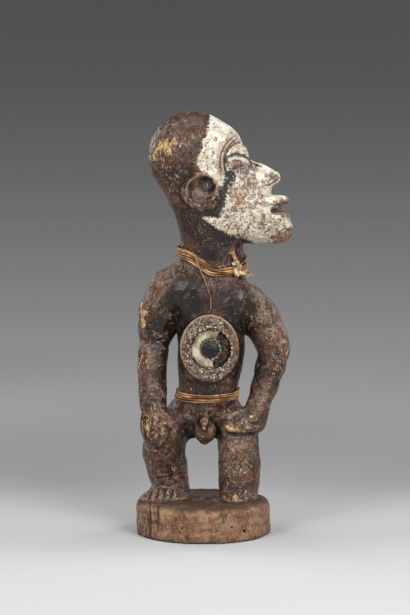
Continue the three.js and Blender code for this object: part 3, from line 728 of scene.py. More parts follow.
block_count = np.ceil((GRID_HIGH - GRID_LOW) / (CELL * BLOCK)).astype(int)
starts = lattice(*block_count) * BLOCK
middles = GRID_LOW + (starts + (BLOCK - 1) / 2) * CELL
rough_depth = wood_depth(middles[:, None])[:, 0]
close = np.abs(rough_depth) < NEAR
inner = starts[close][:, None] + lattice(BLOCK, BLOCK, BLOCK)

depth = np.repeat(rough_depth.reshape(block_count), BLOCK, axis=0)
depth = np.repeat(np.repeat(depth, BLOCK, axis=1), BLOCK, axis=2).astype(np.float32)
depth[inner[..., 0], inner[..., 1], inner[..., 2]] = wood_depth(GRID_LOW + inner * CELL)
print(f"{close.sum()} of {len(close)} blocks filled in, {depth.size / 1e6:.0f} million points")

# %% Surface
grid = openvdb.FloatGrid(float(NEAR))
grid.copyFromArray(depth)
points, quads = grid.convertToQuads()
points = GRID_LOW + points * CELL
corner = points[quads]
facing = np.cross(corner[:, 2] - corner[:, 0], corner[:, 3] - corner[:, 1])
if (facing * corner.mean(axis=1)).sum() < 0:
    quads = quads[:, ::-1]
print(f"{len(quads)} quads on the surface")


# %% [markdown]
# ## Knife marks and thinning
#
# A carver's adze leaves shallow scoops with low ridges between them, and age leaves small dents. Both are
# moved into the surface itself here, so that they show in its outline too. The fine mesh is then thinned
# where it is nearly flat.


# %% Mesh from points
def mesh_object(name, points, faces):
    """A piece from points in millimetres"""
    mesh = bpy.data.meshes.new(name)
    faces = faces.tolist() if isinstance(faces, np.ndarray) else faces
    mesh.from_pydata((np.asarray(points) * MM).tolist(), [], faces)
    return add_object(name, mesh)


def points_and_normals(mesh):
    """Each point's place in millimetres and the way it faces"""
    places, normals = np.empty(len(mesh.vertices) * 3), np.empty(len(mesh.vertices) * 3)
    mesh.vertices.foreach_get("co", places)
    mesh.vertex_normals.foreach_get("vector", normals)
    return places.reshape(-1, 3) / MM, normals.reshape(-1, 3)


# %% Noise in space
PERIOD = 32
SHIFT = 1000


def cloudy(points, size, seed):
    """Smooth random values from -1 to 1 that change over a distance"""
    values = np.random.default_rng(seed).uniform(-1, 1, (PERIOD, PERIOD, PERIOD))
    place = points / size + SHIFT
    cell = np.floor(place).astype(int)
    t = place - cell
    t = t * t * (3 - 2 * t)
    total = 0
    for step in np.ndindex(2, 2, 2):
        weight = np.prod(np.where(step, t, 1 - t), axis=-1)
        i, j, k = ((cell + step) % PERIOD).T
        total = total + weight * values[i, j, k]
    return total


def scoops(points, size, seed):
    """Distance to the nearest of scattered points, in sizes: 0 in the middle of a scoop"""
    jitter = np.random.default_rng(seed).uniform(0, 1, (PERIOD, PERIOD, PERIOD, 3))
    place = points / size + SHIFT
    cell = np.floor(place).astype(int)
    nearest = np.full(len(points), FAR)
    for step in np.ndindex(3, 3, 3):
        other = cell + step - 1
        i, j, k = (other % PERIOD).T
        nearest = np.minimum(nearest, ((other + jitter[i, j, k] - place) ** 2).sum(axis=-1))
    return np.sqrt(nearest)


# %% The carving's mesh
BOX_REACH = 30
BOX_BACK = -24
SMOOTHER = [(20, -60, 530, 110), (90, 0, 800, 130), (-20, 0, 900, 130)]
MOST_SMOOTH = 0.8
ROUGH_BOX = 0.4
SCOOP = {"depth": 0.55, "level": 0.35, "size": 9, "seed": 3, "squash": (1, 1, 0.6)}
# Clouds of dents: depth in millimetres, size and seed
HANDLING = [(0.22, 14, 5), (0.18, 5, 6), (0.11, 2.4, 7)]
CRUSTED_BOX = [(0.9, 3, 10), (0.7, 1.7, 11)]
WORN_BASE = [(0.5, 18, 8), (0.35, 5, 9), (0.15, 2, 12)]
BASE_LOSS = 0.6
FLAT_BELOW = 0.6
figure = mesh_object("carved_figure", points, quads)
place, normal = points_and_normals(figure.data)
unit = (place - [0, 0, BASE_HEIGHT]) / SHARE


def blob(x, y, z, radius):
    """1 at a landmark, fading out over a radius, both in thousandths"""
    return np.exp(-((unit - [x, y, z]) ** 2).sum(axis=-1) / radius**2)


def dents(clouds):
    """Dents of several sizes together"""
    return sum(depth * cloudy(place, size, seed) for depth, size, seed in clouds)


on_base = place[:, 2] < BASE_HEIGHT + 1
in_box = np.hypot(place[:, 0] - RECESS_MIDDLE[0], place[:, 2] - RECESS_MIDDLE[2]) < BOX_REACH
in_box &= place[:, 1] < BOX_BACK
rough = 1 - np.clip(sum(blob(*landmark) for landmark in SMOOTHER), 0, MOST_SMOOTH)
rough[in_box] = ROUGH_BOX
from_scoop = scoops(place * SCOOP["squash"], SCOOP["size"], SCOOP["seed"])
marks = SCOOP["depth"] * (from_scoop**2 - SCOOP["level"]) + dents(HANDLING)
marks[in_box] += dents(CRUSTED_BOX)[in_box]
marks[on_base] = dents(WORN_BASE)[on_base] - BASE_LOSS
place += normal * (marks * rough)[:, None]
place[:, 2] = np.where(place[:, 2] < FLAT_BELOW, 0, place[:, 2])
place = np.clip(place, np.array(cad_box[0]) / MM, np.array(cad_box[1]) / MM)
print("marks in millimetres:", np.percentile(marks * rough, [1, 50, 99]).round(2))

# %% Thinned to what a piece may have
MOST_TRIANGLES = 195000
figure.data.vertices.foreach_set("co", (place * MM).ravel())
thin = figure.modifiers.new("thin", "DECIMATE")
thin.ratio = MOST_TRIANGLES / (2 * len(quads))
evaluated = figure.evaluated_get(bpy.context.evaluated_depsgraph_get())
lighter_mesh = bpy.data.meshes.new_from_object(evaluated)
figure.modifiers.clear()
figure.data = lighter_mesh
print(f"carved_figure: {len(lighter_mesh.vertices)} points, {len(lighter_mesh.polygons)} faces")

# %% [markdown]
# ## Where the paint and the wear are
#
# White earth covers the face in front of a line across the crown, down to the edge of the jaw. A black band
# runs from the eye to the ear. Brow, lips, nostrils and chin are bare. Each region is an outline on the side
# of the head, and each point of the mesh keeps how far inside it lies. The finish then frays that edge with
# noise.

# %% Regions on the side of the head, x and z in thousandths
REGIONS = {
    "white": [
        (17, 1020), (15, 985), (13, 968), (9, 946), (1, 925), (-5, 905), (-12, 883), (-15, 864), (-8, 848),
        (5, 841), (21, 830), (34, 818), (42, 806), (46, 782), (47, 756), (36, 737), (-5, 732), (5, 722),
        (26, 707), (54, 693), (83, 680), (120, 668), (160, 640), (270, 640), (280, 1020),
    ],
    "thinned": [
        (-8, 732), (40, 735), (62, 796), (72, 828), (98, 836), (132, 836), (152, 812), (156, 780), (160, 750),
        (200, 722), (240, 726), (240, 640), (100, 640), (20, 700),
    ],
    "sallow": [
        (70, 826), (98, 836), (132, 838), (154, 810), (157, 782), (152, 750), (119, 748), (96, 752),
        (72, 764), (60, 790),
    ],
    "brow": [
        (84, 940), (63, 935), (48, 922), (39, 905), (34, 888), (32, 868), (36, 846), (44, 822), (57, 842),
        (56, 869), (58, 885), (63, 896), (72, 908), (82, 915), (98, 919), (102, 928), (94, 936),
    ],
    "lid": [
        (57, 885), (61, 896), (71, 908), (82, 915), (98, 918), (112, 912), (120, 896), (118, 878), (108, 882),
        (88, 889), (67, 886),
    ],
    "eye": [
        (58, 874), (67, 883), (88, 886), (109, 877), (123, 870), (142, 860), (126, 847), (109, 833),
        (88, 828), (72, 838), (62, 854),
    ],
    "black": [
        (57, 870), (62, 852), (72, 844), (80, 840), (82, 823), (68, 812), (60, 794), (57, 774), (54, 756),
        (48, 739), (36, 730), (15, 727), (-8, 734), (5, 748), (26, 755), (34, 766), (40, 782), (40, 797),
        (46, 812), (56, 828), (54, 850),
    ],
    "stain": [(76, 784), (93, 788), (107, 774), (102, 758), (88, 752), (75, 766)],
    "chin": [(168, 676), (185, 694), (203, 701), (222, 708), (250, 702), (250, 650), (178, 650)],
    "nostril": [(157, 837), (175, 842), (191, 836), (199, 829), (177, 817), (159, 808)],
    "lips": [
        (168, 744), (171, 753), (177, 762), (195, 774), (217, 784), (240, 784), (240, 727), (200, 731),
        (174, 737),
    ],
}
# Dark lines along the lids, the brow's edge, the nostril, the mouth, the jaw's edge and the ear's folds:
# painted shade in these creases
CREASE_SHADE_LINES = [
    [(60, 882), (67, 887), (80, 891), (90, 890), (101, 887), (113, 881), (120, 876)],
    [
        (58, 872), (60, 879), (67, 884), (80, 888), (90, 887), (101, 884), (113, 878), (118, 874), (131, 866),
        (149, 858),
    ],
    [(96, 921), (88, 919), (80, 916), (70, 909), (61, 896), (56, 884), (54, 868), (55, 846)],
    [(58, 869), (63, 854), (72, 842), (81, 833)],
    [(158, 810), (166, 813), (175, 818), (191, 827), (200, 831)],
    [(172, 746), (188, 750), (200, 760), (214, 767), (232, 772)],
    [(174, 743), (200, 745), (232, 743)],
    [(10, 712), (30, 700), (62, 684), (100, 668), (150, 657)],
    [(-35, 784), (-25, 771), (-7, 765), (13, 770)],
    [(-27, 794), (-14, 782), (2, 779)],
]


def beside(line, x, z):
    """How far each point lies from a line"""
    nearest = np.full(len(x), 1e9)
    for (ax, az), (bx, bz) in zip(line, line[1:]):
        t = np.clip(((x - ax) * (bx - ax) + (z - az) * (bz - az)) / ((bx - ax) ** 2 + (bz - az) ** 2), 0, 1)
        nearest = np.minimum(nearest, np.hypot(x - ax - t * (bx - ax), z - az - t * (bz - az)))
    return nearest


def inside(outline, x, z):
    """How far each point lies inside an outline: positive inside, in the outline's units"""
    closed = outline + outline[:1]
    crossings = np.zeros(len(x), dtype=int)
    for (ax, az), (bx, bz) in zip(closed, closed[1:]):
        if az != bz:
            crossings += ((az > z) != (bz > z)) & (x < ax + (z - az) / (bz - az) * (bx - ax))
    nearest = beside(closed, x, z)
    return np.where(crossings % 2 == 1, nearest, -nearest)


print(f"{len(REGIONS)} regions and {len(CREASE_SHADE_LINES)} lines on the head")

# %% Patches of soot and painted shade, wear and colour: landmarks, each with a reach and a strength
PATCHES = {
    # Soot and oil, and painted shade on the flanks under the arms and between the thighs
    "soot_and_shade": [
        (20, -60, 720, 50, 0.4), (-40, -60, 700, 50, 0.4), (10, -72, 812, 15, 1.6), (-88, -60, 850, 50, 0.45),
        (-47, -65, 532, 60, 1), (93, -65, 525, 55, 0.8), (-94, -43, 495, 26, 0.7), (-103, -33, 435, 34, 0.7),
        (-116, -33, 402, 26, 0.9), (62, -49, 690, 34, 1), (-71, 0, 380, 60, 0.8), (94, -36, 360, 50, 1.2),
        (4, -67, 300, 46, 0.7), (-64, -76, 835, 40, 0.35), (-103, -45, 326, 22, 0.6),
        (-58, -40, 480, 40, 0.9), (105, -36, 460, 44, 0.9), (-30, -30, 170, 40, 1), (40, -30, 170, 40, 1),
        (20, 60, 450, 90, 0.5), (-90, -20, 100, 40, 0.6), (20, -50, 640, 46, 0.7), (-60, -60, 740, 60, 0.4),
        (-40, -78, 850, 30, 0.4), (-130, -36, 438, 25, 1.1), (172, -40, 345, 36, 0.5),
        (150, -44, 300, 30, 0.4), (20, -30, 700, 50, 0.3), (66, -80, 20, 24, 0.5), (-108, -60, 22, 34, 0.4),
        (-70, -20, 170, 40, 0.6),
    ],
    "worn": [
        (-152, -27, 490, 24, 0.9), (-156, -21, 462, 18, 0.9), (-137, -32, 518, 18, 0.6),
        (-130, -85, 238, 12, 0.8), (-110, -83, 245, 10, 0.7), (-143, -84, 200, 16, 0.9),
        (213, -26, 389, 22, 0.7), (208, -24, 419, 20, 0.6), (66, -93, 194, 14, 1), (93, -90, 188, 14, 0.9),
        (119, -88, 200, 12, 0.8), (-145, -35, 144, 18, 0.6), (81, -83, 17, 14, 0.9), (58, -71, 28, 12, 0.7),
        (109, -78, 29, 14, 0.8), (63, -69, 71, 14, 0.5), (-83, -66, 905, 26, 0.9), (-110, -52, 896, 26, 1),
        (-125, -30, 886, 24, 0.9), (-66, -70, 925, 18, 0.6), (-54, -70, 800, 12, 1), (-50, -76, 776, 10, 0.9),
        (-34, -70, 758, 10, 0.9), (-8, -72, 748, 12, 0.8), (24, -74, 764, 10, 0.7), (9, -66, 256, 7, 0.8),
        (-1, -78, 200, 7, 0.9), (-100, -88, 203, 10, 0.6), (104, -77, 86, 12, 0.5), (150, -20, 500, 24, 0.4),
        (120, -60, 480, 40, 0.35), (-155, -28, 350, 36, 0.9), (-95, -55, 850, 40, 0.45),
        (-80, -60, 815, 36, 0.35), (-60, -60, 840, 30, 0.2), (-30, -60, 700, 40, 0.3),
        (-60, -50, 600, 60, 0.25), (60, -60, 150, 60, 0.3), (-130, -50, 100, 60, 0.3),
        (180, -40, 340, 30, 0.3),
    ],
    "dust": [
        (-73, -34, 229, 26, 0.4), (-132, -44, 376, 26, 0.7), (-118, -38, 392, 18, 0.8),
        (-145, -30, 392, 18, 0.7), (106, -61, 519, 30, 0.4), (73, -75, 150, 22, 0.5),
        (132, -66, 269, 22, 0.5), (150, -60, 262, 20, 0.5), (-34, -45, 595, 30, 0.4),
        (30, -56, 565, 30, 0.35), (-60, -8, 594, 40, 0.5), (-99, -8, 590, 40, 0.5), (130, -8, 560, 50, 0.5),
        (-29, -50, 216, 20, 0.3), (-110, -45, 24, 36, 0.5), (-60, -20, 30, 30, 0.5),
        (-130, -48, 300, 30, 0.5), (-122, -56, 262, 24, 0.6), (-93, -43, 955, 30, 0.8),
        (-10, -76, 776, 26, 1.2), (90, -70, 150, 26, 0.5), (56, -62, 83, 20, 0.4), (150, -30, 520, 34, 0.5),
        (165, -30, 470, 24, 0.4), (100, -90, 214, 12, 0.6), (10, -80, 205, 8, 0.5), (147, 1, 0, 24, 0.9),
        (30, -70, 225, 16, 0.5),
    ],
    "raw": [
        (-160, -12, 505, 8, 0.9), (-158, -16, 488, 11, 0.85), (-158, -18, 470, 12, 0.9),
        (-155, -22, 452, 10, 0.85), (-146, -31, 488, 8, 0.8), (48, -92, 200, 7, 1), (58, -95, 196, 8, 1.3),
        (70, -95, 191, 9, 1.3), (84, -92, 188, 8, 0.9), (81, -83, 17, 9, 0.9), (-132, -92, 206, 5, 1),
        (-145, -84, 196, 6, 1.1), (-118, -96, 214, 4, 1), (-118, -94, 202, 4, 1), (-96, -86, 208, 6, 0.9),
        (-97, -84, 192, 4, 0.8), (-1, -88, 200, 4, 1), (28, -70, 197, 4, 1), (-96, -147, -12, 20, 0.9),
        (126, -84, 206, 5, 1), (122, -86, 224, 5, 0.8), (210, -24, 400, 10, 0.7), (213, -22, 380, 8, 0.8),
        (196, -38, 430, 6, 0.6), (-117, -48, 902, 14, 0.8), (-100, -60, 916, 13, 0.8),
        (-88, -66, 900, 13, 0.8), (-124, -36, 885, 12, 0.7), (-56, -68, 792, 6, 0.9), (-46, -74, 770, 6, 0.8),
        (-30, -70, 757, 6, 0.7),
    ],
    "pale": [
        (-100, -20, 575, 56, 1), (-130, -20, 530, 40, 0.9), (165, -20, 490, 56, 1), (190, -20, 440, 44, 0.9),
        # The two patches on the front of the left shin are partly a painted sheen
        (120, -20, 555, 50, 0.8), (80, -75, 120, 70, 1.3), (85, -75, 165, 40, 1.3), (-60, -60, 885, 50, 0.7),
        (-45, -50, 975, 60, 0.15), (-80, -50, 940, 44, 0.6), (-122, -84, 215, 32, 0.9),
        (-84, -80, 215, 22, 1), (90, -85, 220, 50, 0.9), (-135, -35, 393, 22, 1), (-112, -30, 394, 20, 1),
        (-140, -35, 345, 40, 0.25), (-110, -45, 30, 50, 0.45), (-12, -84, 786, 26, 1.2),
        (205, -20, 400, 24, 0.4), (-40, -40, 225, 24, 0.8), (30, -60, 590, 34, 0.5), (155, -56, 262, 26, 0.6),
        (-150, -40, 420, 16, 0.3), (0, 70, 880, 60, 0.4), (-20, 60, 560, 60, 0.5), (70, 60, 540, 50, 0.4),
        (0, 80, 220, 50, 0.4),
    ],
    "red": [
        (0, -60, 705, 60, 0.9), (20, -60, 640, 50, 0.5), (-40, -60, 700, 50, 0.8), (-85, -60, 840, 44, 0.7),
        (-125, -25, 530, 36, 0.9), (-130, -30, 460, 30, 0.6), (-8, -51, 672, 30, 0.8),
        (30, -54, 685, 26, 0.6), (-163, -20, 388, 24, 0.9), (-155, -46, 339, 22, 0.9),
        (176, -38, 415, 24, 0.8), (184, -41, 364, 24, 0.9), (166, -50, 326, 24, 0.9), (17, -67, 303, 26, 0.7),
        (55, -61, 302, 20, 0.6), (56, -69, 7, 20, 0.8), (-137, -43, 132, 26, 0.6), (-80, -45, 107, 24, 0.6),
        (68, -73, 124, 20, 0.4), (-123, -87, 177, 22, 0.8), (-21, -52, 975, 34, 0.4),
        (-60, -60, 790, 30, 0.5),
    ],
    "strokes": [
        (-95, -50, 860, 56, 1), (-60, -70, 820, 40, 0.8), (-110, -40, 905, 40, 1), (-45, -60, 720, 50, 0.35),
        (10, -60, 700, 60, 0.35), (-150, -20, 520, 60, 0.6), (-150, -30, 380, 70, 0.6),
        (190, -30, 400, 60, 0.6), (-125, -60, 250, 60, 0.7), (-110, -60, 130, 70, 0.5),
        (90, -60, 90, 70, 0.5), (170, -30, 320, 50, 0.6), (-70, 60, 880, 60, 0.8), (-50, 40, 560, 60, 0.5),
        (130, 30, 500, 60, 0.5),
    ],
    "rim_dark": [
        (-44, -92, 396, 18, 1), (-42, -92, 372, 16, 1), (-30, -92, 348, 12, 0.6), (0, -92, 318, 18, 1),
        (28, -92, 316, 20, 0.9), (50, -92, 330, 14, 0.5),
    ],
    "crust": [
        (51, -92, 452, 16, 0.8), (34, -92, 458, 18, 1), (8, -92, 460, 18, 1), (-13, -92, 452, 18, 1),
        (-30, -92, 436, 16, 1), (-38, -92, 412, 12, 0.9), (-32, -92, 360, 16, 1), (-18, -92, 343, 16, 1),
        (0, -92, 334, 14, 1), (22, -92, 332, 12, 0.9), (46, -92, 338, 12, 0.8), (66, -92, 352, 12, 1),
        (74, -92, 380, 9, 0.7),
    ],
}
print({name: len(landmarks) for name, landmarks in PATCHES.items()})

# %% Values on the points
HEAD_FROM = 700
FRAY = 26.0
BROW_WIDTH = 1.1
BROWS_ABOVE = 300
place, normal = points_and_normals(figure.data)
unit = (place - [0, 0, BASE_HEIGHT]) / SHARE
unit[:, 1] = np.where(unit[:, 2] > HEAD_FROM, -np.abs(unit[:, 1]), unit[:, 1])


def keep(name, values):
    """Keeps a value on each point, for the finish to read"""
    kept = figure.data.attributes.new(name, "FLOAT", "POINT")
    kept.data.foreach_set("value", np.asarray(values, dtype=np.float32))


for name, outline in REGIONS.items():
    keep(name, np.clip(0.5 + inside(outline, unit[:, 0], unit[:, 2]) / FRAY, 0, 1))
for name, landmarks in PATCHES.items():
    total = sum(strength * blob(x, y, z, reach) for x, y, z, reach, strength in landmarks)
    keep(name, np.clip(total, 0, 1))
off, along_brow, cut = brow_band(place)
keep("brow_cut", cut * along_brow * (np.abs(off) < BROW_WIDTH) * (place[:, 2] > BROWS_ABOVE))
print(f"{len(figure.data.attributes)} attributes on {len(place)} points")

# %% Lines that are painted on: strength, fade, how far back they reach, and their routes
FRONT, ANYWHERE = -60, 1000
PAINTED = {
    "crack": (1.0, 4.5, FRONT, [
        [(-136, 4), (-134, -40), (-136, -86)],
        [(-115, 6), (-114, -30), (-115, -58)],
        [(-146, -60), (-144, -86)],
    ]),
    "ear_rim": (1.0, 10, FRONT, [[
        (-49, 795), (-45, 774), (-28, 756), (-4, 750), (22, 757), (36, 776), (38, 800), (28, 824), (6, 840),
        (-22, 838),
    ]]),
    # Painted shadow under the left hand and in its diagonal groove
    "painted_hand_shadow": (1.3, 7, FRONT, [
        [(66, 181), (84, 177), (104, 176), (124, 177), (134, 183)],
        [(78, 209), (92, 219), (106, 229), (117, 236)],
    ]),
    # Painted highlight just below the lid's line
    "painted_lid_highlight": (1.0, 5, ANYWHERE, [[(66, 874), (78, 879), (90, 878), (102, 874), (112, 869)]]),
}
CREASE_SHADE_WIDTH = 3.6
TIP_OF_NOSE = (150, 790)
NOSE_HALF = 9
NOSE_FADE = 5


def from_lines(lines):
    """How far each point lies from the nearest of some lines"""
    return np.min([beside(line, unit[:, 0], unit[:, 2]) for line in lines], axis=0)


for name, (strength, fade, back, lines) in PAINTED.items():
    keep(name, np.clip(strength - from_lines(lines) / fade, 0, 1) * (unit[:, 1] < back))
on_nose = (unit[:, 0] > TIP_OF_NOSE[0]) & (unit[:, 2] > TIP_OF_NOSE[1])
off_middle = np.where(on_nose, (np.abs(unit[:, 1]) - NOSE_HALF) / NOSE_FADE, 1)
keep("line", np.clip(1 - from_lines(CREASE_SHADE_LINES) / CREASE_SHADE_WIDTH, 0, 1) * np.clip(off_middle, 0, 1))
print("painted:", list(PAINTED))

# %% Edges and hollows
SMOOTHINGS = 5
BROAD_SMOOTHINGS = 16
BROAD_SHARE = 0.8
edges = np.empty(len(figure.data.edges) * 2, dtype=int)
figure.data.edges.foreach_get("vertices", edges)
one, other = edges.reshape(-1, 2).T
links = np.bincount(np.concatenate([one, other]), minlength=len(place))


def eased(values):
    """Each point's value averaged with its neighbours'"""
    total = np.bincount(one, values[other], len(values)) + np.bincount(other, values[one], len(values))
    return total / links


smooth = place
for _ in range(SMOOTHINGS):
    smooth = np.stack([eased(column) for column in smooth.T], axis=-1)
above = eased(((place - smooth) * normal).sum(axis=-1))
broad = above
for _ in range(BROAD_SMOOTHINGS):
    broad = eased(broad)
sharp = above - BROAD_SHARE * broad
keep("relief", np.clip(0.5 + 2 * sharp, 0, 1))
print("relief in millimetres:", np.percentile(sharp, [1, 10, 50, 90, 99]).round(3))

# %% The belly box's rim and the base
RIM_FRONT = 26.5
across, up = (place[:, 0] - BOX_MIDDLE[0]) / BOX_HALF[0], (place[:, 2] - BOX_MIDDLE[2]) / BOX_HALF[1]
from_rim = (1 - np.hypot(across, up)) * BOX_HALF[0]
front = np.clip((-RIM_FRONT - place[:, 1]) / 1.5, 0, 1)
keep("rim", np.clip(0.5 + from_rim / 2, 0, 1) * front)
# A pale line along the rim's outer edge, strongest at the top and the left: a painted highlight
keep("edge", np.clip(1 - np.abs(from_rim - 0.7) / 0.9, 0, 1) * front * np.clip(0.6 + up - 0.5 * across, 0, 1))
keep("ground", np.clip((BASE_HEIGHT + 2.5 - place[:, 2]) / 2, 0, 1))
print(f"{(front > 0).sum()} points on the belly box's front")

# %% [markdown]
# ## The wood's finish
#
# The wood is a dark, handled brown with redder patches, black where smoke and oil have built up and with
# painted shade under the arms and between the thighs, dusty where it was rubbed, and pale in small chips where
# the skin has broken. Raised points carry painted highlights as well as wear, and hollows stay dark.
# The base is bare, lighter wood with dirt in its grain.

# %% Wood: noises of several sizes, and what the points keep
wood = Finish("carved_wood")
patches = wood.noise(24, 6, 0.65)
mottle = wood.noise(8, 8, 0.72, distortion=0.4)
speckle = wood.noise(3, 6, 0.7)
fine = wood.noise(1.5, 4, 0.65)
scratches = wood.noise(1.9, 5, 0.65, stretch=(1, 1, 0.6), distortion=1.6)
flecks = wood.noise(2.6, 5, 0.7, stretch=(1, 1, 0.5))
flakes = wood.noise(4.2, 4, 0.6, distortion=1.4)
spots = wood.noise(4.5, 4, 0.6)
grime = wood.noise(11, 7, 0.7, distortion=0.8)
off_patches, off_mottle = patches - 0.5, mottle - 0.5
off_speckle, off_flecks = speckle - 0.5, flecks - 0.5
relief = wood.attribute("relief")
raised = relief.between(0.60, 0.85)
sunk = relief.between(0.38, 0.12)
soot_and_shade, worn, dust, pale, ground = (wood.attribute(name) for name in ("soot_and_shade", "worn", "dust", "pale", "ground"))
height_mm = wood.node("ShaderNodeSeparateXYZ", inputs={0: wood.place}, out="Z") / MM

# %% Brown skin: where each coat lies
crusty = (wood.noise(20, 5, 0.65) + worn * 0.1 - soot_and_shade * 0.12).between(0.43, 0.57)
handled = (pale * 0.8 + off_mottle * 1.8 + off_patches * 1.2).between(0.15, 0.85) * (0.08 + pale * 0.8).held()
reddish = (wood.noise(7, 6, 0.7) + wood.attribute("red") * 0.12).between(0.52, 0.58)
# Painted shadow and painted highlight on the two sides of each flake's edge, which make the flakes look raised
flake_shadow_lines = flakes.near(0.47, 0.03) * spots.between(0.50, 0.58) * (0.2 + crusty * 0.5)
dusty = (dust * 0.8 + off_mottle * 2.6 + off_speckle * 1.8 - 0.35).between(0, 0.5)
sooty_and_shaded = (soot_and_shade * 1.2 + off_patches * 1.4 + off_mottle * 1.2 - pale * 0.25 - 0.30).between(0, 0.5)
flake_highlight_strength = (0.15 + crusty * 0.45 - sooty_and_shaded * 0.1).held()
flake_highlight_lines = flakes.near(0.53, 0.035) * spots.between(0.52, 0.60) * flake_highlight_strength
crumbling = fine.between(0.62, 0.68) * 0.7 * (crusty * 0.7 + pale * 0.15).held()
chips = (flecks + worn * 0.13 + raised * 0.05 - soot_and_shade * 0.05).between(0.62, 0.66)
ear_rim = (wood.attribute("ear_rim") * 0.8 + off_flecks * 3 + off_mottle).between(0.45, 0.85)
strokes = wood.attribute("strokes") * (0.15 + (off_mottle + off_patches * 0.8).between(-0.06, 0.10))
raw_wood = (wood.attribute("raw") + off_flecks * 2.2 + off_speckle * 1.6 - 0.42).between(0, 0.25)
painted_hand_shadow = (wood.attribute("painted_hand_shadow") + off_speckle * 1.6 + off_mottle).between(0.3, 0.9)

# %% Brown skin: its coats, from the wood outwards
brown = wood.layers(
    wood.blend(patches, 0.42, 0.58, (27, 18, 14), (70, 46, 33)),
    (mottle.between(0.48, 0.55) * 0.7, (90, 62, 46)),
    (handled, wood.blend(flakes, 0.42, 0.56, (78, 57, 46), (136, 112, 96))),
    (reddish * 0.7, wood.blend(fine, 0.45, 0.55, (62, 32, 20), (128, 74, 45))),
    (speckle.between(0.52, 0.58) * (0.35 + crusty * 0.5), (20, 13, 10)),
    # painted shadow beside each flake
    (flake_shadow_lines, (20, 14, 12)),
    (dusty * 0.5, (140, 122, 106)),
    # black soot, and painted shade under the arms and between the thighs
    (sooty_and_shaded * 0.9, (17, 13, 11)),
    # painted highlight beside each flake
    (flake_highlight_lines, (196, 166, 138)),
    (crumbling, (204, 176, 150)),
    (sunk * (0.9 - dusty * 0.5), (14, 10, 9)),
    # painted highlights on raised points, partly worn edges
    (raised * fine.between(0.44, 0.56) * 0.6, (182, 154, 128)),
    (chips * 0.9, wood.blend(fine, 0.40, 0.60, (122, 74, 42), (232, 198, 146))),
    (ear_rim * 0.75, wood.blend(fine * 0.5 + mottle * 0.5, 0.44, 0.54, (112, 84, 66), (206, 172, 128))),
)
light_strokes = (scratches.between(0.55, 0.60) * strokes * 0.9).held()
dark_strokes = (scratches.between(0.45, 0.40) * strokes * 0.8).held()
brown = wood.layers(
    brown,
    (light_strokes, wood.blend(fine, 0.42, 0.56, (126, 92, 66), (204, 172, 130))),
    (dark_strokes, (22, 15, 12)),
    (raw_wood * 0.92, wood.blend(fine, 0.44, 0.60, (236, 204, 150), (150, 104, 62))),
    # painted shadow under the left hand and in its groove
    (painted_hand_shadow * 0.85, (24, 17, 14)),
)
print(f"brown skin: {len(wood.tree.nodes)} nodes")

# %% Bare wood of the base
nicks = wood.noise(2.2, 5, 0.7, stretch=(1, 1, 0.7), distortion=1.2)
cracked = (wood.attribute("crack") + off_speckle * 1.2).between(0.30, 0.72)
# The base's top darker in patches: partly dirt, partly painted shade
top_dirt_and_shade = height_mm.between(24.5, 28.0) * (mottle + off_speckle).between(0.22, 0.56)
tan = wood.layers(
    wood.blend(patches, 0.42, 0.58, (128, 86, 62), (168, 134, 104)),
    (mottle.between(0.48, 0.57) * 0.8, (146, 94, 66)),
    (grime.between(0.50, 0.58) * 0.8, (84, 62, 48)),
    (spots.between(0.55, 0.62) * 0.5, (192, 160, 122)),
    (nicks.between(0.56, 0.64) * 0.6, (74, 54, 42)),
    (fine.between(0.57, 0.65) * 0.4, (214, 188, 154)),
    # raised points lighter: partly worn edges, partly painted highlight
    (raised * 0.4, (198, 168, 130)),
    (sunk * (0.55 - height_mm.between(22, 26) * 0.4), (48, 35, 28)),
    (cracked * 0.8, (46, 34, 27)),
    (raw_wood * 0.6, (196, 164, 106)),
    ((dust * 1.2 + off_mottle * 2).between(0.5, 0.9) * 0.6, (128, 120, 112)),
    (top_dirt_and_shade * 0.85, (58, 46, 38)),
    # painted shade along the base's foot, where it meets the floor
    ((1 - height_mm.between(0.3, 3.0)) * 0.8, (50, 37, 30)),
)
skin = wood.mix((ground + off_mottle * 1.2).between(0.35, 0.65), brown, tan)

# %% White earth on the face
ragged = off_mottle * 1.6 + off_speckle * 1.4


def frayed(name, edge=0.08, raggedness=0.6):
    """1 inside a region, with an edge frayed by noise"""
    return (wood.attribute(name) + ragged * raggedness).between(0.5 - edge, 0.5 + edge)


thinned = wood.attribute("thinned")
jaw = thinned * height_mm.between(272, 260)
thin_and_shaded_patches = 0.2 + speckle.between(0.45, 0.60) * 0.8 + grime.between(0.46, 0.56) * 0.6
earth = wood.layers(
    wood.blend(mottle, 0.42, 0.56, (230, 226, 213), (200, 190, 167)),
    # darker where the white is thinned, and more so low on the jaw: partly thin white, partly painted shade
    ((thinned * 0.3 + jaw * 0.45) * thin_and_shaded_patches.held(), (160, 140, 114)),
    (frayed("lid", 0.3) * 0.9, wood.blend(speckle, 0.46, 0.58, (206, 194, 166), (132, 114, 92))),
    (frayed("sallow", 0.3, 1.2) * speckle.between(0.44, 0.52) * 0.8, (144, 116, 100)),
)
dots = wood.noise(1.5, 2, 0.5)
pitting = dots * 0.75 + speckle * 0.25 + (grime - 0.5) * 0.85 + thinned * 0.035 + jaw * 0.03 + sunk * 0.08
flaked = (wood.noise(9, 7, 0.75) + thinned * 0.04).between(0.62, 0.65)
white = frayed("white", 0.06, 0.8)
cover = white * (1 - (pitting.between(0.595, 0.63) * 0.95 + flaked * 0.8).held())

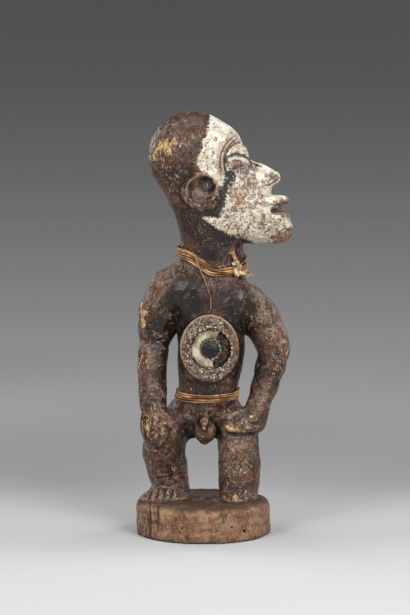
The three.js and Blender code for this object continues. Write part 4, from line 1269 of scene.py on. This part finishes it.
# %% Bare places and black pigment on the face
brow_cut = wood.attribute("brow_cut")
eyeball = wood.layers(
    wood.blend(speckle, 0.42, 0.51, (160, 134, 116), (62, 42, 34)),
    (fine.between(0.54, 0.60) * 0.8, (230, 220, 204)),
)
bare = wood.layers(
    wood.blend(speckle, 0.44, 0.58, (172, 140, 118), (104, 74, 60)),
    ((flecks * 0.5 + fine * 0.5 - brow_cut * 0.08).between(0.47, 0.54) * 0.75, (232, 220, 200)),
    (brow_cut.between(0.35, 0.85) * 0.8, (66, 44, 34)),
)
lip_wood = wood.layers(
    wood.blend(speckle, 0.44, 0.56, (140, 102, 78), (70, 46, 35)),
    (fine.between(0.57, 0.63) * 0.7, (220, 202, 174)),
)
lips_and_chin = (frayed("lips", 0.1, 0.6) + frayed("chin", 0.12, 1.5)).held()
band = (frayed("black", 0.1, 1.0) * (1 - flaked * 0.6)).held()
painted_lid_highlight = (wood.attribute("painted_lid_highlight") * 1.2 + off_speckle).between(0.35, 0.8)
# Painted shade along the creases of the face and the ear
line = (wood.attribute("line") + off_speckle * 1.5).between(0.25, 0.55)
skin = wood.layers(
    skin,
    (white, wood.blend(fine, 0.42, 0.58, (52, 39, 32), (120, 96, 78))),
    (cover, earth),
    (frayed("stain", 0.35, 1.1) * 0.7, wood.blend(speckle, 0.42, 0.58, (176, 128, 80), (126, 84, 52))),
    (frayed("eye", 0.2, 1.1) * 0.92, eyeball),
    (frayed("brow", 0.1, 0.5) * 0.9, bare),
    (frayed("nostril", 0.2, 0.8) * 0.85, wood.blend(speckle, 0.42, 0.58, (140, 118, 98), (66, 50, 42))),
    (lips_and_chin * 0.9, lip_wood),
    (band * 0.96, wood.blend(fine, 0.56, 0.66, (20, 21, 22), (96, 92, 86))),
    # painted highlight below the lid
    (painted_lid_highlight * 0.8, (224, 214, 198)),
    (line * 0.85, (44, 34, 30)),
)
print(f"face: {len(wood.tree.nodes)} nodes so far")

# %% The belly box's rim, with crust in places
rim = (wood.attribute("rim") * 1.4 + off_mottle).between(0.4, 0.9)
rim_wood = wood.layers(
    wood.blend(mottle, 0.42, 0.58, (134, 102, 79), (90, 62, 47)),
    ((wood.attribute("rim_dark") + off_speckle * 2).between(0.3, 0.8) * 0.75, (84, 52, 38)),
    (speckle.between(0.50, 0.42) * 0.5, (66, 48, 38)),
    (speckle.between(0.54, 0.62) * 0.6, (196, 168, 136)),
)
blotch = wood.noise(3.2, 6, 0.7, distortion=1.5)
crust = wood.layers(
    wood.blend(blotch, 0.46, 0.54, (58, 48, 39), (142, 126, 108)),
    (blotch.between(0.57, 0.61), (210, 198, 178)),
)
crusted = (wood.attribute("crust") + off_mottle * 2.2 + off_speckle * 1.2).between(0.40, 0.55)
skin = wood.layers(
    skin,
    (rim * 0.92, wood.mix(crusted, rim_wood, crust)),
    # painted highlight on the rim's edge
    (wood.attribute("edge") * 0.7, (196, 172, 144)),
)

# %% The wood's roughness and its fine relief
dull = 0.28 + cover * 0.5 + dusty * 0.2 + ground * 0.34 + rim * 0.3
dull = dull + raw_wood * 0.25 + crusty * 0.1 + sooty_and_shaded * 0.05
lumps = wood.noise(6, 4, 0.45) + wood.noise(2.6, 3, 0.45) * 0.4
grain = mottle * 0.8 + speckle * 0.8 + flecks * 0.3 + fine * 0.35
height = lumps * (1 - ground) * (1 - sooty_and_shaded * 0.6)
height = height + grain * (ground * 0.9 + crusty * 0.15 + rim * 0.3) * (1 - cover * 0.65)
hollows = wood.bump(height - chips * 0.1, 2.0)
wood.finish(Base_Color=skin, Roughness=dull.held(), Specular_IOR_Level=0.4, Normal=hollows)
figure.data.materials.clear()
figure.data.materials.append(wood.material)
figure.data.shade_smooth()
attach(figure, "root")
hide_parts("figure")
print(f"carved_wood: {len(wood.tree.nodes)} nodes")

# %% [markdown]
# ## Cord, twisted from two plies
#
# Plant fibre is rolled into two thin plies, and these are twisted together. A plain tube never looks like it,
# and twisting meshes by hand is slow to change. Geometry Nodes follow any route: they resample it, push each
# ply off the middle by an angle that grows along the route, and sweep a small circle. The same tree makes the
# winding, the knot and the frayed tips, with other numbers.

# %% A small helper for node trees
class Tree:
    """A Geometry Nodes tree with named inputs."""

    def __init__(self, name, inputs):
        self.group = bpy.data.node_groups.new(name, "GeometryNodeTree")
        sockets = self.group.interface
        sockets.new_socket("Geometry", in_out="INPUT", socket_type="NodeSocketGeometry")
        for label, kind in inputs.items():
            sockets.new_socket(label, in_out="INPUT", socket_type=kind)
        sockets.new_socket("Geometry", in_out="OUTPUT", socket_type="NodeSocketGeometry")
        self.input = self.group.nodes.new("NodeGroupInput").outputs
        self.output = self.group.nodes.new("NodeGroupOutput").inputs

    def add(self, kind, settings=(), inputs=(), out=0):
        """Any node: its kind, its settings, its inputs as links or numbers, and the output that is wanted"""
        made = self.group.nodes.new(kind)
        for name, value in dict(settings).items():
            setattr(made, name, value)
        for name, value in dict(inputs).items():
            if isinstance(value, bpy.types.NodeSocket):
                self.group.links.new(value, made.inputs[name])
            else:
                made.inputs[name].default_value = value
        return made.outputs[out]

    def math(self, operation, a, b=0.0):
        """A Math node on two numbers or links"""
        return self.add("ShaderNodeMath", {"operation": operation}, {0: a, 1: b})

    def vector(self, operation, a, b=(0, 0, 0), **more):
        """A Vector Math node on two vectors or links"""
        return self.add("ShaderNodeVectorMath", {"operation": operation}, {0: a, 1: b, **more})

    def finish(self, geometry):
        """Ends the tree: real geometry, with the material that is put in"""
        real = self.add("GeometryNodeRealizeInstances", inputs={"Geometry": geometry})
        inputs = {"Geometry": real, "Material": self.input["Material"]}
        self.group.links.new(self.add("GeometryNodeSetMaterial", inputs=inputs), self.output[0])

    def grow(self, name, data, values):
        """A piece from the mesh that the tree makes out of points or routes"""
        holder = add_object(name + "_route", data)
        modifier = holder.modifiers.new("tree", "NODES")
        modifier.node_group = self.group
        for item in self.group.interface.items_tree:
            if item.in_out == "INPUT" and item.name in values:
                modifier[item.identifier] = values[item.name]
        evaluated = holder.evaluated_get(bpy.context.evaluated_depsgraph_get())
        mesh = bpy.data.meshes.new_from_object(evaluated)
        bpy.data.objects.remove(holder)
        mesh.name = name
        mesh.shade_smooth()
        print(f"{name}: {len(mesh.polygons)} faces")
        return add_object(name, mesh)


# %% The twisted cord's tree
PLIES = 2
SECTION_SIDES = 7
measures = dict.fromkeys(["Step", "Ply Radius", "Ply Offset", "Lay"], "NodeSocketFloat")
twist = Tree("twisted_cord", {**measures, "Material": "NodeSocketMaterial"})
spaced = {"Curve": twist.input["Geometry"], "Length": twist.input["Step"]}
route = twist.add("GeometryNodeResampleCurve", {"mode": "LENGTH"}, spaced)
reached = twist.add("GeometryNodeSplineParameter", out="Length")
turns = twist.math("DIVIDE", reached, twist.input["Lay"])
route = twist.add(
    "GeometryNodeStoreNamedAttribute",
    {"data_type": "FLOAT", "domain": "POINT"},
    {"Geometry": route, "Name": "along", "Value": turns},
)
sideways = twist.add("GeometryNodeInputNormal", out="Normal")
forwards = twist.add("GeometryNodeInputTangent")
upwards = twist.vector("CROSS_PRODUCT", forwards, sideways)
circle = {"Resolution": SECTION_SIDES, "Radius": twist.input["Ply Radius"]}
circle = twist.add("GeometryNodeCurvePrimitiveCircle", inputs=circle)
plies = twist.group.nodes.new("GeometryNodeJoinGeometry")
for ply in range(PLIES):
    angle = twist.math("ADD", twist.math("MULTIPLY", turns, math.tau), math.tau / PLIES * ply)
    across = twist.vector("SCALE", sideways, Scale=twist.math("COSINE", angle))
    above = twist.vector("SCALE", upwards, Scale=twist.math("SINE", angle))
    push = twist.vector("SCALE", twist.vector("ADD", across, above), Scale=twist.input["Ply Offset"])
    moved = twist.add("GeometryNodeSetPosition", inputs={"Geometry": route, "Offset": push})
    swept = {"Curve": moved, "Profile Curve": circle, "Fill Caps": True}
    twist.group.links.new(twist.add("GeometryNodeCurveToMesh", inputs=swept), plies.inputs[0])
twist.finish(plies.outputs[0])
print(f"twisted_cord: {len(twist.group.nodes)} nodes")


# %% Cord along routes
def poly_curve(name, routes):
    """A curve with one open line through the points of each route, in millimetres"""
    curve = bpy.data.curves.new(name, "CURVE")
    curve.dimensions = "3D"
    for points in routes:
        spline = curve.splines.new("POLY")
        spline.points.add(len(points) - 1)
        flat = np.concatenate([np.asarray(points) * MM, np.ones((len(points), 1))], axis=1)
        spline.points.foreach_set("co", flat.ravel())
    return curve


def twisted(name, routes, thickness, lay, material, spread=0.21, step=0.7):
    """Two plies twisted along each route, pushed apart by a share of the thickness"""
    values = {
        "Step": step * MM,
        "Ply Radius": (0.5 - spread) * thickness * MM,
        "Ply Offset": spread * thickness * MM,
        "Lay": lay * MM,
        "Material": material,
    }
    return twist.grow(name, poly_curve(name + "_route", routes), values)


# %% Fibre
def fibre_finish(name, light, dark, stain, gap=0.0):
    """Rolled plant fibre: tones that change along the cord, grime, and painted shade on the upper and lower
    sides, where turns touch
    """
    made = Finish(name)
    tones = {"W": made.attribute("along"), "Scale": 1.6, "Detail": 1}
    stripes = made.node("ShaderNodeTexNoise", {"noise_dimensions": "1D"}, tones, out="Fac")
    hairs = made.noise(0.7, 4, 0.7)
    facing = made.node("ShaderNodeNewGeometry", out="Normal")
    lean = made.node("ShaderNodeSeparateXYZ", inputs={0: facing}, out="Z")
    shade = made.layers(
        made.blend(stripes * 0.8 + hairs * 0.2, 0.38, 0.60, dark, light),
        (made.noise(8, 5, 0.65).between(0.50, 0.62) * 0.7, stain),
        # painted shade between turns, on the sides that face up or down
        (lean.math("ABSOLUTE", lean).between(0.60, 1.0) * gap, (42, 26, 18)),
    )
    made.finish(Base_Color=shade, Roughness=0.8, Specular_IOR_Level=0.25, Normal=made.bump(hairs, 0.3))
    return made.material


fibre = fibre_finish("plant_fibre", (212, 164, 114), (126, 84, 52), (88, 58, 38), gap=1.0)
pale_fibre = fibre_finish("pale_fibre", (232, 208, 164), (160, 120, 80), (112, 80, 52), gap=0.5)
thread_fibre = fibre_finish("thread_fibre", (204, 176, 142), (132, 92, 62), (74, 48, 34))
print("fibres:", [made.name for made in (fibre, pale_fibre, thread_fibre)])

# %% [markdown]
# ## Winding cord round the wood
#
# The cord runs once round the neck and meets itself one thickness higher, turn after turn. Its route is found
# on the carving itself: in each direction round the neck a stack of places is worked out, each one thickness
# above the last and just clear of the wood, and the route climbs that stack slowly as it goes round.

# %% The stack of places in each direction
CORD = 1.9
CLEAR = CORD / 2 + 0.3
STRAND = 1.62
LAY = 45.0
WOUND_SPREAD = 0.14
HALVINGS = 12
SMALL_STEP = 0.05
WANDERS = 8
NECK = {
    "axis": (21, 6),
    "turns": 5,
    "wander": 0.16,
    "heights": [
        (-240, 632), (-180, 626), (-142, 616), (-114, 594), (-92, 578), (-60, 576), (-42, 581), (0, 600),
        (60, 625), (120, 632), (180, 626), (218, 616),
    ],
}
WAIST = {
    "axis": (10, 0),
    "turns": 4,
    "wander": 0.07,
    "heights": [(-270, 270), (-180, 264), (-90, 255), (0, 263), (90, 270), (180, 264), (270, 255)],
}


def wood_at(points):
    """How far places lie from the wood"""
    return wood_depth(np.asarray(points, dtype=float).reshape(-1, 1, 3)).reshape(np.shape(points)[:-1])


def winding_stack(winding, directions, thickness):
    """Places at which turns lie, by turn and direction, with the top one past the last turn"""
    centre = spot(*winding["axis"], 0)
    ways = np.stack([np.cos(np.radians(directions)), np.sin(np.radians(directions))], axis=-1)

    def at(out, height):
        return np.concatenate([centre[:2] + out[:, None] * ways, height[:, None]], axis=1)

    height = np.array([spot(0, 0, curve_through(winding["heights"], d, 1))[2] for d in directions])
    out = np.full(len(directions), thickness)
    buried = np.full(len(directions), True)
    while buried.any():
        gap = CLEAR - wood_at(at(out, height))
        buried = gap > 0
        out = out + np.where(buried, np.maximum(0.6 * gap, SMALL_STEP), 0)
    stack = [at(out, height)]
    for _ in range(winding["turns"] + 1):
        free, buried = np.zeros(len(directions)), np.full(len(directions), math.pi)
        for _ in range(HALVINGS):
            turn = (free + buried) / 2
            trial = at(out + thickness * np.cos(turn), height + thickness * np.sin(turn))
            clear = wood_at(trial) > CLEAR
            free, buried = np.where(clear, turn, free), np.where(clear, buried, turn)
        out, height = out + thickness * np.cos(free), height + thickness * np.sin(free)
        stack.append(at(out, height))
    return np.array(stack)


def winding_route(winding, start, steps=96, seed=1):
    """The cord's line, climbing from the lowest turn to the top one, from a direction in degrees"""
    directions = (start + np.arange(steps) * 360 / steps + 180) % 360 - 180
    stack = winding_stack(winding, directions, CORD)
    knots = np.random.default_rng(seed).normal(0, winding["wander"], winding["turns"] * WANDERS + 2)
    route = []
    for i in range(winding["turns"] * steps - steps // 12):
        level = i / steps + np.interp(i * WANDERS / steps, np.arange(len(knots)), knots)
        level = min(max(level, 0), len(stack) - 2)
        low_turn, part = int(level), level - int(level)
        column = i % steps
        route.append(stack[low_turn, column] * (1 - part) + stack[low_turn + 1, column] * part)
    route = np.array(route)
    route[1:-1] = (route[:-2] + 2 * route[1:-1] + route[2:]) / 4
    return route


neck_route = winding_route(NECK, -36)
waist_route = winding_route(WAIST, 90, seed=2)
for name, route in [("neck", neck_route), ("waist", waist_route)]:
    print(f"{name} cord: {np.linalg.norm(np.diff(route, axis=0), axis=1).sum():.0f} mm long")

# %% Waist cord
waist_cord = twisted("waist_cord_wound", [waist_route], STRAND, LAY, fibre, WOUND_SPREAD)
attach(waist_cord, "root")
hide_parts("waist_cord")

# %% The knot's place and its two ends
KNOT_DIRECTION = -40
KNOT_TURN = 2
END_THICKNESS = 4.6
END_POINTS = [(89, 606), (85, 616), (80, 626), (75, 636)]
STARTS_BEFORE = -110
knot_angle = math.radians(KNOT_DIRECTION)
outwards = np.array([math.cos(knot_angle), math.sin(knot_angle), 0])
knot_middle = winding_stack(NECK, np.array([KNOT_DIRECTION]), CORD)[KNOT_TURN, 0] + CORD * outwards


def before_wood(x, z, thickness):
    """A place in front of the neck, clear of it by half a cord"""
    place = spot(x, STARTS_BEFORE, z)
    while wood_at(place) > thickness / 2:
        place = place + [0, max(SMALL_STEP, 0.5 * (wood_at(place) - thickness / 2)), 0]
    return place


standing_end = [before_wood(x, z, END_THICKNESS) for x, z in END_POINTS]
aside_end = [knot_middle + off for off in ([3.0, -0.5, -1.6], [6.0, -0.4, -2.0], [8.6, 0.2, -1.8])]
print("knot at", knot_middle.round(1))


# %% Routes of the knot
def smooth_route(points, steps=24):
    """A Catmull-Rom line through a few points"""
    points = np.asarray(points)
    padded = np.concatenate([[2 * points[0] - points[1]], points, [2 * points[-1] - points[-2]]])
    line = []
    for a, b, c, d in zip(padded, padded[1:], padded[2:], padded[3:]):
        slope, bend, rest = c - a, 2 * a - 5 * b + 4 * c - d, 3 * b - a - 3 * c + d
        line += [0.5 * (2 * b + slope * t + bend * t**2 + rest * t**3) for t in np.arange(steps) / steps]
    return np.array(line + [points[-1]])


def one_long(vector):
    """The same way, at a length of one"""
    return np.array(vector, float) / np.linalg.norm(vector)


def ring(off, radius, across, up):
    """A little more than one turn of cord, off the knot's middle, in the plane of two directions"""
    angles = np.linspace(0, 1.05 * math.tau, 40)
    across, up = one_long(across), one_long(up)
    return np.array([knot_middle + off + radius * (math.cos(a) * across + math.sin(a) * up) for a in angles])


knot = [
    ring([0, -0.4, -1.0], 2.2, (0, -0.3, 1), (-0.6, -1, 0)),
    ring([0.2, -0.6, 3.0], 1.9, (1, 0, 0.5), (0.4, -1, 0)),
    ring([-1.6, -0.9, 6.4], 1.3, (1, 0, 0.4), (0.3, -1, 0)),
    smooth_route([knot_middle] + standing_end),
    smooth_route([knot_middle] + aside_end),
]


# %% Neck cord, its knot and the frayed tips of its ends
def tuft(end, back, length, count, spread, seed):
    """Loose fibres that splay from just behind a cord's end"""
    random = np.random.default_rng(seed)
    way = one_long(end[-1] - end[-2])
    start = end[-1] - back * way
    lines = []
    for _ in range(count):
        lean = way + random.normal(0, spread, 3)
        bend = random.normal(0, 0.35, 3)
        begin = start + random.normal(0, 0.7, 3)
        far = length * random.uniform(0.5, 1.0)
        lines.append([begin + far * t * lean + bend * t * t * 2 for t in np.linspace(0, 1, 6)])
    return lines


fibres = tuft(standing_end, 0.6, 2.8, 26, 0.3, seed=4) + tuft(aside_end, 0.8, 2.6, 60, 0.55, seed=5)
neck_cord = twisted("neck_cord_wound", [neck_route], STRAND, LAY, fibre, WOUND_SPREAD)
neck_knot = twisted("neck_cord_knot", knot, END_THICKNESS * 0.85, 6.5, pale_fibre)
neck_tufts = twisted("neck_cord_tufts", fibres, 0.4, 2.0, pale_fibre, step=0.6)
for piece in (neck_cord, neck_knot, neck_tufts):
    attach(piece, "root")
    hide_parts("neck_cord")

# %% [markdown]
# ## The hanging thread
#
# A thin thread comes out from under the neck cord, crosses it and hangs down the chest to just above the
# belly box. It is one open curve with a round section, which is all that its thickness shows.

# %% Thread
THREAD = 0.7
THREAD_POINTS = [
    (-9.2, -16.2, 234.3), (-7.6, -18.3, 231.9), (-6, -19.1, 228.8), (-4.3, -19.4, 224.7),
    (-2.7, -19.8, 220.7), (-1.1, -19.2, 216.5), (0.6, -19.4, 212.9), (2.5, -20.6, 208), (4.7, -21.4, 201.9),
    (6, -21.8, 196.2), (6.2, -21.8, 192.1), (6, -22, 187.6),
]
thread_line = smooth_route(THREAD_POINTS, 3)
thread_curve = poly_curve("hanging_thread_line", [thread_line])
thread_curve.bevel_depth = THREAD / 2 * MM
thread_curve.bevel_resolution = 2
thread_curve.use_fill_caps = True
thread_curve.materials.append(thread_fibre)
thread = add_object("hanging_thread_line", thread_curve)
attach(thread, "root")
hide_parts("hanging_thread")

# %% [markdown]
# ## What fills the belly box
#
# The box's round hollow is packed with dark resin. On it lies a flat ring of something pale, of which the
# right third is lost, and in its middle sits a dark, low dome of glass. Resin and glass are both discs that
# are rough in their own way, so one function makes them, from a height for each place. The ring is a bar with
# chipped edges, bent round the middle. All three are closed, so they are real solids.

# %% Discs on the belly's face
BED_THICK = 2.4
BED_TOP = 0.3 + BED_THICK - RECESS_DEPTH
BED_GAP = 0.25


def on_belly(across, up, out):
    """Points on the belly: across and up from the hollow's middle, and out from the box's face"""
    return np.stack([RECESS_MIDDLE[0] + across, -BOX_FRONT - out, RECESS_MIDDLE[2] + up], axis=-1)


def band_faces(rows, around):
    """Quads between rows of points, each row closed round"""
    faces = []
    for i in range(rows):
        for j in range(around):
            k = (j + 1) % around
            faces.append((i * around + j, (i + 1) * around + j, (i + 1) * around + k, i * around + k))
    return faces


def disc_piece(name, radius, bottom, top, rings=26, around=96):
    """A closed disc with a flat underside and a top whose height changes across and up"""
    radii = radius * np.linspace(0, 1, rings + 1)[1:]
    r, a = np.meshgrid(radii, np.linspace(0, math.tau, around, endpoint=False), indexing="ij")
    across, up = r * np.cos(a), r * np.sin(a)
    middles = [on_belly(0, 0, top(np.zeros(1), np.zeros(1))[0]), on_belly(0, 0, bottom)]
    points = [on_belly(across, up, top(across, up)).reshape(-1, 3)]
    points += [on_belly(across[-1], up[-1], np.full(around, bottom)), np.array(middles)]
    faces = band_faces(rings, around)
    top_point, bottom_point = (rings + 1) * around, (rings + 1) * around + 1
    for j in range(around):
        k = (j + 1) % around
        faces += [(top_point, j, k), (bottom_point, rings * around + k, rings * around + j)]
    return mesh_object(name, np.concatenate(points), faces)


# %% Resin
def flat_noise(across, up, size, seed):
    """Noise over the belly's face"""
    flat = np.stack([across, up, 0 * across], axis=-1).reshape(-1, 3)
    return cloudy(flat, size, seed).reshape(np.shape(across))


def step_up(value, start, length):
    """0 up to a start, and 1 from a length past it"""
    return np.clip((value - start) / length, 0, 1)


def resin_height(across, up):
    """Low under the ring, heaped where the ring is lost, and with a moat along the right edge"""
    far = np.hypot(across, up)
    heaped = np.maximum(step_up(across, 3, 4) * step_up(far, 8.4, 1.5), step_up(far, 15.2, 1.2))
    moat = step_up(far, 14.2, 0.8) * step_up(across, 6, 3)
    uneven = 0.8 * flat_noise(across, up, 3.0, 21) + 0.6 * flat_noise(across, up, 1.4, 22)
    return BED_TOP + heaped * (1.0 + uneven) * (1 - moat) + 0.1 * uneven - 1.2 * moat


charge = disc_piece("resin_charge", RECESS_RADIUS - BED_GAP, BED_TOP - BED_THICK, resin_height)
resin = Finish("dark_resin")
crumbs = resin.noise(1.8, 5, 0.7)
stains = resin.noise(6, 4, 0.6)
pitch = resin.layers(
    resin.blend(stains, 0.42, 0.58, (34, 28, 23), (82, 66, 52)),
    (crumbs.between(0.50, 0.60) * 0.7, (26, 22, 18)),
    (crumbs.between(0.66, 0.70), (176, 160, 138)),
)
resin.finish(Base_Color=pitch, Roughness=0.6, Normal=resin.bump(crumbs + stains, 0.8))
charge.data.materials.append(resin.material)

# %% Ring: millimetres from the middle, and degrees at which it begins and ends
RING = {"inner": 8.9, "outer": 15.5, "thickness": 1.7, "start": 63, "end": 280}


def broken_ring(name, inner, outer, bottom, thickness, start, end, steps=90):
    """A C with chipped edges, as a closed bar bent round the middle"""
    random = np.random.default_rng(31)
    top = bottom + thickness

    def chips_every(spacing, depth):
        count = len(range(0, steps, spacing))
        return np.interp(np.arange(steps), np.arange(0, steps, spacing), random.normal(0, depth, count))

    inner_edge = inner + chips_every(3, 0.4) * 0.6
    outer_edge = outer + chips_every(4, 0.45)
    points = []
    for a, r0, r1 in zip(np.radians(np.linspace(start, end, steps)), inner_edge, outer_edge):
        lift = 0.12 * random.normal()
        section = [(r0, bottom), (r1, bottom), (r1 + 0.1, bottom + 0.6), (r1 - 0.3, top - 0.15 + lift)]
        section += [((r0 + r1) / 2, top + 0.1), (r0 + 0.35, top - 0.1 + lift), (r0 - 0.05, bottom + 0.7)]
        points += [on_belly(r * math.cos(a), r * math.sin(a), h) for r, h in section]
    size = len(section)
    faces = [(a, d, c, b) for a, b, c, d in band_faces(steps - 1, size)]
    faces += [tuple(range(size))[::-1], tuple((steps - 1) * size + j for j in range(size))]
    return mesh_object(name, points, faces)


ring_piece = broken_ring("pale_ring", bottom=BED_TOP + 0.3, **RING)
shell = Finish("pale_shell")
pits = shell.noise(1.6, 5, 0.7)
yellowed = shell.noise(8, 4, 0.6)
ring_height = shell.node("ShaderNodeSeparateXYZ", inputs={0: shell.place}, out="Z") / MM - RECESS_MIDDLE[2]
browned = (ring_height / 12 + (yellowed - 0.5) * 3 + (pits - 0.5) * 2).between(0.4, 1.1)
bone = shell.layers(
    shell.blend(yellowed, 0.38, 0.60, (200, 192, 168), (148, 132, 100)),
    (browned * 0.75, (118, 96, 66)),
    (pits.between(0.57, 0.63) * 0.8, (84, 68, 50)),
)
shell.finish(Base_Color=bone, Roughness=0.62, Normal=shell.bump(pits, 0.3))
ring_piece.data.materials.append(shell.material)

# %% Glass
GLASS_RADIUS = 8.5
GLASS_FOOT = BED_TOP + 0.3
GLASS_EDGE = 1.3
GLASS_RISE = 2.4


def glass_height(across, up):
    """A low dome with a rough, crusted edge"""
    part = np.clip(np.hypot(across, up) / GLASS_RADIUS, 0, 1)
    crusty_edge = step_up(part, 0.93, 0.06)
    uneven = 0.35 * flat_noise(across, up, 1.6, 41)
    dome = GLASS_RISE * (1 - part**2) * (1 - crusty_edge)
    return GLASS_FOOT + GLASS_EDGE + dome - crusty_edge * (0.25 + uneven)


glass_piece = disc_piece("dark_glass", GLASS_RADIUS, GLASS_FOOT, glass_height, rings=30)
glass = Finish("clouded_glass")
to_middle = {"Vector": glass.place, "Location": tuple(-on_belly(0, 0, 0) * MM)}
from_middle = glass.node("ShaderNodeMapping", inputs=to_middle)
parts = glass.node("ShaderNodeVectorMath", {"operation": "LENGTH"}, {0: from_middle}, out="Value")
smear = glass.noise(3.4, 5, 0.7, distortion=1.2)
edge = (parts / (GLASS_RADIUS * MM) + smear * 0.7).between(1.16, 1.26)
deep = glass.layers(
    glass.mix(smear.between(0.55, 0.66) * 0.6, (7, 8, 11), (72, 66, 52)),
    (edge, (104, 92, 74)),
)
dull = (0.08 + edge * 0.6 + smear.between(0.5, 0.65) * 0.35).held()
glass.finish(Base_Color=deep, Roughness=dull, Specular_IOR_Level=0.4, Normal=glass.bump(smear, 0.6))
glass_piece.data.materials.append(glass.material)

# %% [markdown]
# ## Crumbs
#
# Resin and white earth have been pressed in and daubed on many times. They crumble along the hollow's edge,
# round the glass and where the ring is lost. More than a thousand small lumps repeat here, so Geometry Nodes
# set one rough ball on each of a list of points, with the point's own size and tone, and turn each one
# another way.

# %% The crumbs' tree
measures = {"Size": "NodeSocketFloat", "Seed": "NodeSocketInt"}
scatter = Tree("set_crumbs", {**measures, "Material": "NodeSocketMaterial"})


def random_vector(low, high):
    """Three random numbers between limits, for each crumb"""
    limits = {0: (low, low, low), 1: (high, high, high), 8: scatter.input["Seed"]}
    return scatter.add("FunctionNodeRandomValue", {"data_type": "FLOAT_VECTOR"}, limits)


ball = scatter.add("GeometryNodeMeshIcoSphere", inputs={"Radius": 1.0, "Subdivisions": 1})
own_size = scatter.add("GeometryNodeInputNamedAttribute", {"data_type": "FLOAT"}, {"Name": "size"})
size = scatter.math("MULTIPLY", own_size, scatter.input["Size"])
scale = scatter.vector("SCALE", random_vector(0.6, 1.2), Scale=size)
balls = {"Points": scatter.input["Geometry"], "Instance": ball}
balls |= {"Rotation": random_vector(0, 6), "Scale": scale}
scatter.finish(scatter.add("GeometryNodeInstanceOnPoints", inputs=balls))
print(f"set_crumbs: {len(scatter.group.nodes)} nodes")

# %% Where the crumbs are
random = np.random.default_rng(51)


def crumbs_in(count, degrees, radii, out, sizes, tones):
    """Rows of across, up, out, size and tone, spread over part of a ring"""
    angle = np.radians(random.uniform(*degrees, count))
    radius = random.uniform(*radii, count)
    rows = [radius * np.cos(angle), radius * np.sin(angle), random.uniform(*out, count)]
    return np.stack(rows + [random.uniform(*sizes, count), random.uniform(*tones, count)], axis=-1)


crumb_rows = np.concatenate([
    crumbs_in(420, (60, 285), (15.6, 17.3), (-2.6, -0.4), (0.35, 0.85), (0.0, 0.85)),
    crumbs_in(420, (-75, 60), (9.5, 14.6), (-2.6, -1.4), (0.4, 1.4), (0.0, 0.42)),
    crumbs_in(110, (-110, 75), (8.2, 9.6), (-1.9, -1.2), (0.3, 0.65), (0.2, 0.95)),
    crumbs_in(110, (-75, 60), (16.8, 18.6), (-0.6, 0.1), (0.3, 0.8), (0.4, 1.0)),
    crumbs_in(150, (75, 290), (17.0, 20.5), (-0.3, 0.1), (0.3, 0.85), (0.0, 0.95)),
])
crumb_places = bpy.data.meshes.new("crumb_places")
crumb_places.from_pydata((on_belly(*crumb_rows[:, :3].T) * MM).tolist(), [], [])
for column, name in [(3, "size"), (4, "tone")]:
    kept = crumb_places.attributes.new(name, "FLOAT", "POINT")
    kept.data.foreach_set("value", crumb_rows[:, column].astype(np.float32))
print(f"{len(crumb_rows)} crumbs")

# %% Crumbs
daub = Finish("resin_and_earth_crumbs")
tone = daub.attribute("tone") + (daub.noise(1.2, 3) - 0.5) * 0.8
shade = daub.layers(
    daub.blend(tone, 0.15, 0.55, (30, 24, 19), (112, 92, 72)), (tone.between(0.60, 0.85), (222, 212, 192))
)
daub.finish(Base_Color=shade, Roughness=0.75, Specular_IOR_Level=0.3)
crumbs_piece = scatter.grow("belly_crumbs", crumb_places, {"Size": MM, "Seed": 5, "Material": daub.material})
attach(crumbs_piece, "root")

# %% The fillings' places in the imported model
for piece, node_name, slot in [
    (charge, "belly_charge", "resin"),
    (ring_piece, "belly_ring", "shell"),
    (glass_piece, "belly_glass", "glass"),
]:
    piece.data.shade_smooth()
    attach(piece, "root")
    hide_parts(node_name)
    print(f"{piece.name}: {len(piece.data.polygons)} faces")
